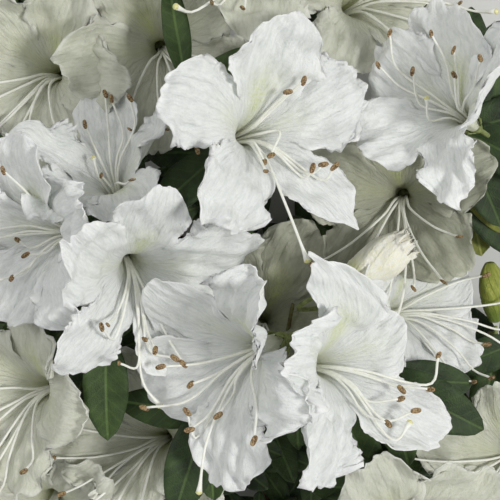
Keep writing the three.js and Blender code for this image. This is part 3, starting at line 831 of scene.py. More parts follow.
    def add_to(self, surface: Surface, bloom: "Bloom", columns: int, rows: int) -> None:
        """Adds a bloom's petals to a surface.

        Args:
            surface: Where they go.
            bloom: The bloom that they belong to.
            columns: Faces across a lobe.
            rows: Faces along a lobe.
        """
        random = Seed.PETALS.draws(bloom.number)
        across, along = sheet_steps(columns, rows)
        low = max(rows // 3, 6)
        heights = self.tube_height * np.linspace(0, 1, low + 1)[:-1, None] + across * 0
        azimuth = across * math.pi / self.lobes + heights * 0
        radius = self.tube_radius(heights) - self.flutes * np.cos(azimuth * self.lobes) * smooth(heights / 8)
        funnel = np.stack([np.sin(azimuth) * radius, np.cos(azimuth) * radius, heights], -1)
        along = along + across * 0
        for number, opening in enumerate(bloom.open):
            form = bloom.forms.get(number) or LobeForm(
                curl=14 * (random.random() - 0.3), keel=0.1 * random.random())
            lobe, run = self.lobe(opening, form, across + along * 0, along, random)
            grid = np.concatenate([funnel, lobe])
            turn = -TAU * number / self.lobes
            c, s = math.cos(turn), math.sin(turn)
            turned = [grid[..., 0] * c - grid[..., 1] * s, grid[..., 0] * s + grid[..., 1] * c, grid[..., 2]]
            distance = np.concatenate([heights - self.tube_height, run])
            place = across + distance * 0
            deep = 1 - smooth((distance + self.throat_depth) / 16)
            spot = self.spotted[number] * bell(distance + 1, self.spot_length) * bell(place, self.spot_width)
            margin = np.minimum((1 - np.abs(across)) * self.lobe_width / 2, (1 - along) * self.lobe_length)
            # A painted highlight along each lobe's margin
            rim = np.concatenate([heights * 0, bell(margin, self.rim_highlight_width) * smooth(along / 0.3)])
            coords = np.stack([place + self.pattern_step * number, distance], -1)
            tints = np.stack([deep, spot * self.spot_strength, rim], -1)
            surface.add_grid(bloom.place(np.stack(turned, -1)), coords, tints)


@dataclass
class Bloom:
    """One bloom's place and form, as in the part's source."""

    number: int
    shoot: str
    throat: tuple
    lean: tuple
    upper: float
    size: float
    open: tuple
    swing: float = 0
    throat_height: float = 9

    @property
    def front(self) -> bool:
        """Whether it is one of those in front, which show all their detail."""
        return self.number <= FRONT_BLOOMS

    @property
    def forms(self) -> dict:
        """The forms of those of its lobes that have their own."""
        return LOBE_FORMS.get(self.number, {})

    @property
    def petals(self) -> Petals:
        """The finish of its petals: blooms behind, except the fresh ones listed, carry painted shade."""
        fresh = self.front or self.number in FRESH_BEHIND
        return Petals.FRESH if fresh else Petals.PAINTED_DEEP_SHADE if self.number in PAINTED_DEEP_SHADE else Petals.OLDER

    @property
    def axes(self) -> Array:
        """The bloom's own directions in the layout: side, towards its upper lobe, along its axis."""
        d, a, u = (math.radians(v) for v in (*self.lean, self.upper))
        axis = np.array([math.sin(a) * math.cos(d), math.sin(a) * math.sin(d), math.cos(a)])
        up = np.array([math.cos(u), math.sin(u), 0.0])
        up = unit(up - axis * up.dot(axis))
        return np.array([np.cross(up, axis), up, axis])

    @property
    def foot(self) -> Array:
        """The corolla's foot in the layout."""
        return np.array(self.throat) - self.axes[2] * self.throat_height * self.size

    @property
    def node(self) -> str:
        """The name of the solid that this bloom replaces."""
        return f"bloom_{self.number:02d}"

    def place(self, points: Array) -> Array:
        """Returns points in the bloom's own frame as layout points."""
        return points @ (self.axes * self.size) + self.foot


@dataclass
class Stamens:
    """The stamens and style of a bloom, with its cup of sepals and its stalk."""

    count: int = 6
    spread: float = 52
    stray: float = 9
    thread_points: int = 22
    own_thread_points: int = 30
    path: tuple = ((1.1, 2.2), (3.0, 14), (7.5, 21), (22, 31.5), (31, 36), (34.5, 43))
    bow_shares: tuple = (0, 0, 0.7, 1, 0.5, 0)
    wide_bend: float = 11
    thick: float = 0.52
    thin: float = 0.4
    anther_length: float = 3.5
    anther_radius: float = 0.76
    anther_groove: float = 0.34
    anther_offset: float = 0.9
    style_reach: float = 1.18
    style_radius: float = 0.42
    stigma_radius: float = 1.05
    stigma_form: tuple = (0.35, 0.8, 1.0, 1.04, 0.9, 0.6, 0.15)
    stalk_radius: float = 0.85
    cup_length: float = 4
    cup_top: float = 1.2
    cup_radii: tuple = (1.9, 2.5, 2.7)
    sepals: int = 5
    sepal_length: float = 5.5
    sepal_width: float = 2.4
    filament_look: int = 0
    anther_look: int = 1
    stigma_look: int = 2
    green_look: int = 3

    def thread(self, bloom: Bloom, fan: float, reach: float, bow: float) -> Array:
        """Lays out a filament.

        Args:
            bloom: The bloom that it grows in.
            fan: Its angle from the lower side of the bloom.
            reach: Its length as a share of the path's.
            bow: How far it bows sideways, in millimetres.

        Returns:
            Its path in the layout.
        """
        a = math.radians(fan)
        middle = self.path[1][1]
        points = []
        for k, (out, up) in enumerate(self.path):
            stretch = reach if k > 1 else 1
            side = bow * self.bow_shares[k]
            wide = out * stretch
            points.append((math.sin(a) * wide + math.cos(a) * side, -math.cos(a) * wide + math.sin(a) * side,
                           middle + (up - middle) * stretch))
        return bloom.place(smooth_curve(points, self.thread_points))

    def own_thread(self, bloom: Bloom, bend: tuple, tip: tuple) -> Array:
        """Lays out a filament of a bloom in front.

        Args:
            bloom: The bloom that it grows in.
            bend: Where it turns up, in the bloom's own frame.
            tip: Where it ends.

        Returns:
            Its path in the layout.
        """
        wide = math.hypot(bend[0], bend[1])
        toward = np.array([bend[0] / wide, bend[1] / wide, 0.0])
        # A wide bend leaves room for one more point of the plain path
        points = [toward * out + (0, 0, up) for out, up in self.path[:3 if wide > self.wide_bend else 2]]
        return bloom.place(smooth_curve([*points, bend, tip], self.own_thread_points))

    def threads(self, bloom: Bloom, random: Draws) -> list:
        """Lays out a bloom's filaments.

        Args:
            bloom: The bloom that they grow in.
            random: The source of random numbers.

        Returns:
            Their paths, with the style's last.
        """
        if bloom.front:
            return [self.own_thread(bloom, *thread) for thread in THREADS[bloom.number]]
        paths = []
        for k in range(self.count):
            fan = bloom.swing + (k / (self.count - 1) - 0.5) * 2 * self.spread
            fan = fan + self.stray * (random.random() - 0.5)
            reach = 0.74 + 0.3 * random.random()
            paths.append(self.thread(bloom, fan, reach, 5 * (random.random() - 0.5)))
        style = self.thread(bloom, bloom.swing + 12 - 24 * random.random(), self.style_reach, 3)
        return [*paths, style]

    def add_anther(self, surface: Surface, at: Array, ahead: Array, turn: float, size: float) -> None:
        """Adds an anther: two lobes side by side, with a groove between.

        Args:
            surface: Where it goes.
            at: Its middle.
            ahead: The filament's direction there.
            turn: Its turn about that direction, in radians.
            size: The bloom's scale.
        """
        side = unit(np.cross(ahead, (0.3, 0.2, 1.0)))
        above = np.cross(side, ahead)
        long = unit(ahead + side * math.cos(turn) * 0.5 + above * math.sin(turn) * 0.5)
        flat = unit(np.cross(long, above))
        third = np.cross(long, flat)
        around = np.linspace(0, TAU, 12, endpoint=False)
        down = np.linspace(0.02, math.pi - 0.02, 9)[:, None]
        groove = 1 - self.anther_groove * np.abs(np.cos(around)) ** 6
        radius = self.anther_radius * size * groove * np.sin(down) ** 0.7
        x = radius * np.sin(around) * 1.15
        y = radius * np.cos(around) * 0.8
        z = np.cos(down) * self.anther_length / 2 * size + around * 0
        grid = at + x[..., None] * flat + y[..., None] * third + z[..., None] * long
        surface.add_grid(grid, look=self.anther_look, closed=True)

    def add_to(self, surface: Surface, bloom: Bloom) -> None:
        """Adds the stamens, style, sepals and foot of a bloom.

        Args:
            surface: Where they go.
            bloom: The bloom that they belong to.
        """
        random = Seed.STAMENS.draws(bloom.number)
        size = bloom.size
        *paths, style = self.threads(bloom, random)
        for path in paths:
            radii = np.linspace(self.thick, self.thin, len(path)) * size
            surface.add_tube(path, radii, 6, self.filament_look)
            ahead = unit(path[-1] - path[-2])
            middle = path[-1] + ahead * self.anther_offset
            self.add_anther(surface, middle, ahead, random.random() * TAU, size)
        radii = np.full(len(style), self.style_radius) * size
        radii[-3:] *= (1.2, 1.7, self.stigma_radius / self.style_radius)
        surface.add_tube(style, radii, 8, self.filament_look)
        ahead = unit(style[-1] - style[-2])
        knob = style[-1] + ahead * np.linspace(-0.55, 0.85, len(self.stigma_form))[:, None] * size
        surface.add_tube(knob, self.stigma_radius * size * np.array(self.stigma_form), 10, self.stigma_look)
        self.add_sepals(surface, bloom, random)

    def add_sepals(self, surface: Surface, bloom: Bloom, random: Draws) -> None:
        """Adds the green cup and its narrow sepals.

        Args:
            surface: Where they go.
            bloom: The bloom that they hold.
            random: The source of random numbers.
        """
        heights = np.linspace(-self.cup_length, self.cup_top, 8)[:, None]
        levels = (-self.cup_length, -2, 0, self.cup_top)
        radii = np.interp(heights, levels, (self.stalk_radius, *self.cup_radii))
        turn = np.linspace(0, TAU, 15, endpoint=False)
        cup = np.stack([radii * np.cos(turn), radii * np.sin(turn), heights + turn * 0], -1)
        surface.add_grid(bloom.place(cup), look=self.green_look, closed=True)
        w, u = sheet_steps(4, 6)
        for k in range(self.sepals):
            a = (k + 0.5 * random.random()) * TAU / self.sepals
            wide = self.sepal_width / 2 * np.sin(math.pi * (0.25 + 0.75 * u)) + 0.03
            out = 2.5 + 1.7 * u + 0.25 * w**2
            up = 0.5 + self.sepal_length * u * (0.75 + 0.25 * random.random())
            x = out * math.cos(a) - w * wide * math.sin(a)
            y = out * math.sin(a) + w * wide * math.cos(a)
            front = np.stack([x, y, up + w * 0], -1)
            back = np.stack([x * 1.07, y * 1.07, up - 0.15 + w * 0], -1)[:, ::-1]
            sepal = bloom.place(np.concatenate([front, back], 1))
            surface.add_grid(sepal, look=self.green_look, closed=True)


@dataclass
class Limb:
    """A woody part, as in the part's source: its points and its radii at both ends."""

    name: str
    radii: tuple
    points: tuple


@dataclass
class Shoot:
    """A leafy shoot, as in the part's source.

    Attributes:
        name: Its solid's name.
        start: Where it leaves the wood.
        end: Its tip.
        leaves: The directions of its leaves, in degrees.
        rise: How steeply its leaves start at most.
        slim: How wide its leaves are, as a share of the plain width.
        more: Smaller leaves, each with its share along the shoot, direction, rise, length and age.
    """

    name: str
    start: tuple
    end: tuple
    leaves: tuple
    rise: float = 34
    slim: float = 1
    more: tuple = ()

    @property
    def path(self) -> Array:
        """The shoot's curve from its bough to its tip."""
        start, end = np.array(self.start, float), np.array(self.end, float)
        middle = start + (end - start) * 0.55
        middle[2] -= 0.12 * np.linalg.norm(end - start)
        return smooth_curve([start, middle, end], 60)


def whorl(first: float, count: int) -> tuple:
    """Returns the directions of a whorl's leaves, each turned on by the golden angle."""
    return tuple(first + k * GOLDEN_ANGLE for k in range(count))


MAIN_RADII = (3.4, 2.7)
BOUGH_RADII = (2.3, 1.5)
TWIG_RADII = (1.9, 1.4)

LIMBS = (
    Limb("main_stem", MAIN_RADII,
         ((10, -190, 3.4), (11, -150, 3.3), (8, -110, 3.1), (3, -80, 2.9), (0, -56, 3.6))),
    Limb("bough_left", BOUGH_RADII,
         ((4.5, -95, 3.2), (-30, -92, 3.6), (-62, -76, 2.6), (-86, -42, 2.2), (-98, 5, 2), (-101, 50, 2),
          (-102, 85, 6), (-99, 112, 17))),
    Limb("bough_centre", BOUGH_RADII,
         ((0, -52, 3.5), (-8, -22, 2.6), (-14, 15, 2.2), (-14, 50, 6), (-3, 78, 18), (14, 92, 38))),
    Limb("bough_right", BOUGH_RADII,
         ((2.5, -76, 2.9), (38, -78, 2.6), (68, -70, 3.5), (85, -56, 16), (94, -33, 41))),
    Limb("bough_far_right", BOUGH_RADII,
         ((-7, -14, 2.6), (26, -4, 2.4), (54, 10, 2.4), (72, 28, 20), (78, 43, 50))),
    Limb("twig_lower_middle", TWIG_RADII, ((-1, -54, 6), (5, -50, 20), (11, -43, 40), (13.5, -37, 58))),
    Limb("twig_left", TWIG_RADII, ((-13, 2, 4), (-28, 4, 9), (-42, 6.5, 25), (-48, 7, 44))),
    Limb("twig_upper_middle", TWIG_RADII, ((-14, 26, 4), (-12, 33, 26), (-10.5, 36, 52))),
    Limb("twig_bottom", TWIG_RADII, ((38, -78, 4.5), (45, -85, 18), (49, -91, 38))),
)

SHOOTS = (
    Shoot("leaves_lower_middle", (13.4, -37.5, 57), (13.5, -34, 73), whorl(200, 5), rise=-4),
    Shoot("leaves_left", (-48, 7, 43), (-49, 7, 57), whorl(250, 5)),
    Shoot("leaves_upper_middle", (-10.6, 35.8, 51), (-10, 37, 68), (183, 218, 330, 80)),
    Shoot("leaves_bottom", (48.8, -90.5, 37), (50, -94, 53), whorl(60, 5)),
    Shoot("leaves_far_right", (78, 43, 49), (79, 45, 66), (287, 218, 330, 15, 80),
          more=((0.5, 296, 4, 40, Age.MATURE), (0.2, 300, -4, 44, Age.YOUNG), (0.1, 272, -8, 40, Age.YOUNG),
                (0.02, 287, -14, 50, Age.YOUNG), (0.3, 298, -10, 54, Age.MATURE),
                (0.6, 83, 0, 50, Age.MATURE), (0.35, 66, 2, 50, Age.SUMMER), (0.3, 66, 6, 40, Age.MATURE),
                (0.6, 40, 10, 36, Age.SUMMER))),
    Shoot("leaves_right_front", (68, -69, 6), (45, -43, 90), (-28, 66, 290),
          more=((0.93, 355, 10, 34, Age.MATURE),)),
    Shoot("leaves_left_front", (-72, -65, 4.5), (-51, -30, 82), (-90, 200, 60)),
    Shoot("leaves_left_low", (-95, -14, 4), (-74, -20, 72), (-98, 150)),
    Shoot("leaves_front_low", (-10, -94, 5.5), (-15, -55, 86), (-109, -84, 170)),
    Shoot("leaves_back_middle", (-13, 54, 8), (-23, 60, 88), (97, 20), slim=0.6),
    Shoot("leaves_right_middle", (30, -3, 4.5), (40, -21, 38), whorl(350, 4)),
    Shoot("leaves_middle", (-2, -40, 5.5), (14, -21, 20), whorl(20, 3)),
    Shoot("leaves_right_deep", (54, 10, 4.5), (62, 22, 24), whorl(300, 4)),
    Shoot("leaves_top_left", (-14, 48, 7.5), (-36, 77, 25), whorl(10, 4)),
    Shoot("leaves_far_left", (-101, 64, 4.5), (-76, 69, 21), whorl(60, 4)),
    Shoot("leaves_left_edge", (-99, 112, 16), (-94, 104, 34), (-6, 100, 165, 235)),
    Shoot("leaves_low_left", (-83, -47, 4), (-67, -50, 25), whorl(30, 4)),
    Shoot("leaves_low_corner", (-46, -86, 4.5), (-72, -94, 13), whorl(190, 4)),
    Shoot("leaves_low_middle", (-24, -93, 4.8), (-33, -74, 22), whorl(20, 4)),
    Shoot("leaves_right_corner", (76, -65, 9), (104, -80, 24), whorl(250, 5)),
    Shoot("leaves_top", (14, 92, 37), (20, 96, 48), whorl(80, 5)),
)
# Lobes with a form of their own, by bloom and by lobe, clockwise from the upper lobe; EVEN is a calm one
EVEN = LobeForm(frill=0.3, curl=2)
LOBE_FORMS = {
    1: {0: LobeForm(keel=0.3, frill=1.2, sweep=10, long=1.05),
        1: LobeForm(keel=0.2, wide=0.85, frill=1.5, curl=14), 2: LobeForm(long=1.12, frill=0.8), 3: EVEN,
        4: LobeForm(frill=0.25, curl=2, sweep=-4, long=0.92)},
    2: {0: LobeForm(keel=0.35, wide=0.9, frill=0.6, point=2, sweep=-84, long=0.86),
        1: LobeForm(frill=0.3, wide=0.8, sweep=-60, long=0.5),
        2: LobeForm(frill=0.5, wide=0.94, sweep=-24, long=1.06),
        3: LobeForm(frill=1.2, wide=0.86, long=1.12),
        4: LobeForm(keel=0.3, wide=0.95, frill=1.4, sweep=-20, long=0.86)},
    3: {0: LobeForm(keel=-0.1, frill=0.4, curl=26, sweep=10, wide=0.78, long=0.94),
        1: LobeForm(frill=1.4, curl=10, sweep=-10), 2: EVEN,
        3: LobeForm(frill=0.8, wide=0.72, sweep=10, long=1.05),
        4: LobeForm(keel=0.1, wide=1.12, frill=0.9, sweep=52, long=0.84)},
    4: {0: LobeForm(wide=1.25, frill=0.5, sweep=6), 1: LobeForm(frill=1.2),
        3: LobeForm(frill=0.6, sweep=-12, long=0.92)},
    5: {0: LobeForm(frill=0.8, sweep=20, long=0.95), 1: LobeForm(keel=0.2, frill=1.3, sweep=10, long=0.8),
        2: LobeForm(keel=1, wide=0.54, sweep=-9, long=1.06),
        3: LobeForm(frill=0.3, sweep=-14, long=0.96, wide=0.9),
        4: LobeForm(frill=1.3, wide=0.6, keel=0.6, sweep=-72, long=0.8)},
    6: {0: LobeForm(keel=0.35, frill=0.7, wide=1.06, sweep=16, long=0.96),
        1: LobeForm(frill=1.3, keel=0.1, sweep=-18),
        2: LobeForm(frill=0.5, point=3.5, wide=0.74, sweep=-6, long=1.05), 3: LobeForm(),
        4: LobeForm(frill=0.6, keel=-0.32, sweep=-10, long=1.04)},
    7: {0: LobeForm(frill=0.6, curl=95, wide=1.3, sweep=-46, long=0.92),
        1: LobeForm(frill=0.8, keel=0.2, wide=1.1, sweep=-70, long=1.05),
        2: LobeForm(wide=0.7, keel=0.15, sweep=-4, long=1.06, point=4),
        3: LobeForm(frill=0.5, sweep=5, long=0.86), 4: LobeForm(curl=40, sweep=14, long=0.94)},
    12: {0: LobeForm(long=0.6, wide=0.8), 1: LobeForm(frill=0.4, long=0.68, sweep=-34),
         2: LobeForm(long=0.8)},
    15: {0: LobeForm(long=0.68, wide=0.8)},
}
# Where each filament of a front bloom turns up and where it ends, in the bloom's own frame; the style last
THREADS = {
    1: (((-9, -9, 25), (-15, -12, 34)), ((-3, -9, 22), (-5, -12, 30)), ((-5, -20, 30), (-13, -27, 37)),
        ((5, -10, 22), (8, -13, 30)), ((4, -18, 29), (4, -21, 35)), ((5, -26, 32), (0, -19, 34)),
        ((18, -1, 29), (26, -3, 37)), ((9, -23, 32), (18, -34, 39))),
    2: (((25, -9, 33), (25, -1, 37)), ((10, -5, 23), (13, -9, 31)), ((14, -8, 28), (20, -10, 36)),
        ((6, -12, 24), (11, -12, 32)), ((7, -18, 30), (13, -16, 36)), ((1, -15, 27), (3, -18, 34)),
        ((7, -24, 33), (11, -19, 36))),
    3: (((-7, -11, 25), (-11, -11, 32)), ((-8, -18, 29), (-13, -12, 33)), ((0, -27, 31), (-7, -23, 36)),
        ((4, -22, 30), (10, -22, 35)), ((9, -17, 29), (13, -23, 36)), ((2, -13, 25), (1, -16, 32)),
        ((3, -16, 27), (4, -19, 34)), ((2, -32, 32), (8, -40, 34))),
    4: (((-8, 4, 21), (-17, 4, 33)), ((-8, 1, 20), (-16, 1, 32)), ((-8, -4, 21), (-9, -1, 25)),
        ((-1, -6, 20), (-5, -6, 25)), ((-7, -12, 26), (-15, -14, 35)), ((-6, -10, 24), (-7, -13, 31)),
        ((3, 15, 27), (3, 24, 36)), ((-9, 2, 22), (-20, -1, 35))),
    5: (((-2, -11, 23), (-3, -15, 32)), ((2, 5, 20), (3, 5, 25)), ((-8, -10, 25), (-15, -18, 37)),
        ((-13, -7, 26), (-16, -15, 36)), ((-18, -5, 29), (-21, -9, 37)), ((-1, 18, 29), (-2, 26, 37)),
        ((3, -2, 20), (1, -6, 25))),
    6: (((-2, -4, 20), (-2, -10, 25)), ((-2, -6, 20), (-5, -14, 31)), ((3, 6, 20), (5, 10, 29)),
        ((5, 7, 21), (9, 13, 32)), ((7, 0, 20), (1, -8, 25)), ((10, -16, 29), (10, -14, 33)),
        ((11, -15, 30), (13, -13, 34)), ((15, -17, 32), (16, -14, 36)), ((1, -25, 32), (3, -42, 39))),
    7: (((-20, 7, 31), (-21, 15, 39)), ((-17, 1, 28), (-22, 4, 36)), ((-10, -2, 22), (-12, 6, 30)),
        ((4, 1, 20), (3, 9, 27)), ((1, 10, 22), (3, 16, 33)), ((-3, 13, 26), (-6, 19, 36)),
        ((12, 7, 27), (18, 14, 38)), ((-5, -6, 20), (-6, 0, 25))),
}
# The blooms in front have the lowest numbers; behind them, one keeps the fresh colour, two get deep painted
# shade
FRONT_BLOOMS = 7
FRESH_BEHIND = (12,)
PAINTED_DEEP_SHADE = (11, 19)
BLOOMS = (
    Bloom(1, "leaves_lower_middle", (4, -33, 100), (198, 45), 48, 1.08, (86, 86, 90, 98, 62)),
    Bloom(2, "leaves_lower_middle", (23, -39, 100), (8, 38), 94, 1.08, (84, 96, 78, 98, 62), 26),
    Bloom(3, "leaves_left", (-41.5, -4, 92), (-52, 30), 90, 1.06, (77, 104, 106, 100, 62)),
    Bloom(4, "leaves_left", (-64, 6.5, 82), (192, 43), 92, 0.98, (94, 96, 96, 94, 88), -72),
    Bloom(5, "leaves_left", (-48.5, 20.5, 74), (109, 40), -57, 0.96, (96, 100, 64, 76, 88)),
    Bloom(6, "leaves_upper_middle", (-2.5, 39, 96), (10, 29), 91, 1.08, (62, 90, 80, 102, 96), 10),
    Bloom(7, "leaves_far_right", (73.5, 45.5, 94), (157, 43), 66, 0.97, (62, 64, 104, 62, 80), -116),
    Bloom(8, "leaves_bottom", (50.5, -96, 80), (-60, 16), 115, 1.04, (88, 86, 84, 86, 92)),
    Bloom(9, "leaves_top_left", (-34, 77.5, 52), (300, 12), 120, 1.05, (84, 88, 84, 86, 90)),
    Bloom(10, "leaves_far_left", (-75, 68, 46), (200, 14), 60, 1.05, (84, 84, 88, 86, 90)),
    Bloom(11, "leaves_right_deep", (58, 21, 50), (200, 15), 95, 1.04, (88, 84, 86, 88, 84)),
    Bloom(12, "leaves_right_middle", (53, -24, 54), (20, 40), 100, 1.0, (80, 88, 96, 92, 80), 50),
    Bloom(13, "leaves_low_left", (-76.5, -52, 52), (185, 32), 60, 1.02, (86, 84, 84, 86, 90)),
    Bloom(14, "leaves_low_middle", (-33, -72.5, 46), (170, 18), 40, 1.02, (88, 84, 86, 84, 88)),
    Bloom(15, "leaves_right_corner", (100, -79, 50), (150, 22), 95, 1.0, (86, 86, 88, 84, 86), -40),
    Bloom(16, "leaves_top", (4.5, 99, 76), (110, 20), 60, 1.04, (86, 84, 88, 86, 88)),
    Bloom(17, "leaves_top", (37, 91, 56), (20, 22), 100, 1.0, (84, 88, 86, 80, 84), 60),
    Bloom(18, "leaves_low_corner", (-78, -97, 32), (250, 20), 110, 1.0, (84, 86, 86, 84, 88)),
    Bloom(19, "leaves_middle", (5, -27, 45), (90, 16), 62, 1.0, (86, 84, 88, 84, 86)),
)


@dataclass
class Wood:
    """The main stem, boughs and twigs, with the relief of their bark."""

    row_mm: float = 1.3
    sides: int = 18
    relief: float = 0.16
    knot_spacing: float = 21
    knot: float = 0.35
    knot_length: float = 1.6
    ridge_waves: tuple = (9, 9, 2.2)
    ridge_stretch: float = 0.3

    def add_limb(self, surface: Surface, limb: Limb, number: int) -> None:
        """Adds a limb, ridged along its length and a little swollen at its old leaf scars.

        Args:
            surface: Where it goes.
            limb: The limb.
            number: Seeds its relief.
        """
        random = Seed.WOOD.draws(number)
        length = path_length(smooth_curve(limb.points, 100))
        path = smooth_curve(limb.points, int(length / self.row_mm))
        run = np.linspace(0, length, len(path))
        turn = np.linspace(0, 1, self.sides, endpoint=False)
        base = np.linspace(*limb.radii, len(path))
        around, along = np.meshgrid(turn * TAU, run)
        ridges, drawn = Waves(random, *self.ridge_waves), along * self.ridge_stretch
        uneven = ridges.at(np.cos(around) * 6, drawn) * 0.5 + ridges.at(np.sin(around) * 6 + 40, drawn) * 0.5
        scars = bell((run + 9 * random.random()) % self.knot_spacing - 4, self.knot_length) * self.knot
        radii = base[:, None] * 0.97 + self.relief * uneven + scars[:, None] * 0.5
        radii[0] = base[0]
        coords = np.stack([around * base.mean(), along + 60 * number], -1)
        surface.add_grid(tube(path, radii, self.sides), coords, closed=True)

    def build(self) -> None:
        """Builds the wood and gives it its bark."""
        surface = Surface()
        for number, limb in enumerate(LIMBS):
            self.add_limb(surface, limb, number)
        piece = surface.build("stem_and_boughs", [Bark().material()])
        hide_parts(*(limb.name for limb in LIMBS))


@dataclass
class Leaf:
    """A leaf blade, as in the part's source, with its finer form."""

    length: float = 40
    width: float = 17
    thickness: float = 0.35
    fold: float = 0.16
    droop: float = 22
    wave: float = 0.55
    waves: tuple = (4, 16, 7)
    rib_depth: float = 0.35
    rib_width: float = 0.12
    quilt: float = 0.12
    grid: tuple = (8, 16)

    def blade(self, at: Array, direction: float, rise: float, length: float, columns: int, rows: int,
              random: Draws = None, slim: float = 1) -> tuple[Array, Array]:
        """Lays out a blade.

        Args:
            at: Where it leaves the shoot.
            direction: Its compass direction in degrees.
            rise: How steeply it starts, in degrees.
            length: Its length.
            columns: Faces across.
            rows: Faces along.
            random: Makes it wavy, where given.
            slim: Its width, as a share of the plain one.

        Returns:
            Its points, and their places across and along it in millimetres.
        """
        d = math.radians(direction)
        ahead = np.array([math.cos(d), math.sin(d), 0])
        across = np.array([math.sin(d), -math.cos(d), 0])
        x, u = sheet_steps(columns, rows)
        width = self.width / self.length * length * slim
        # The outline widens fast, and closes to a blunt tip
        half = width / 2 * (0.1 + 0.9 * np.abs(np.sin(math.pi * u**0.9)) ** 0.75)
        half = half * (1 - smooth((u - 0.93) / 0.07) * 0.85)
        # Along its length, the blade bends down in one arc
        steep = math.radians(rise)
        droop = math.radians(rise + self.droop) / length
        angle = steep - droop * u * length
        out = (math.sin(steep) - np.sin(angle)) / droop
        up = (np.cos(angle) - math.cos(steep)) / droop
        side = np.abs(x)
        raised = side * half * self.fold + x * 0 + u * 0
        if random is not None:
            wave = Waves(random, *self.waves)
            ribs = np.cos((u * length - side * half * SIDE_VEIN_SLOPE) * TAU / SIDE_VEINS_MM)
            raised = raised + self.wave * wave.at(u * length + x * 2, x * 3) * side ** 2
            raised = raised - self.rib_depth * bell(x, self.rib_width) * (1 - u)
            raised = raised - self.quilt * ribs * np.sin(math.pi * side)
        normal = -np.sin(angle)[..., None] * ahead + np.cos(angle)[..., None] * UP
        points = (at + out[..., None] * ahead + up[..., None] * UP
                  + (x * half)[..., None] * across + raised[..., None] * normal)
        return points, np.stack([x * half, u * length + x * 0], -1)


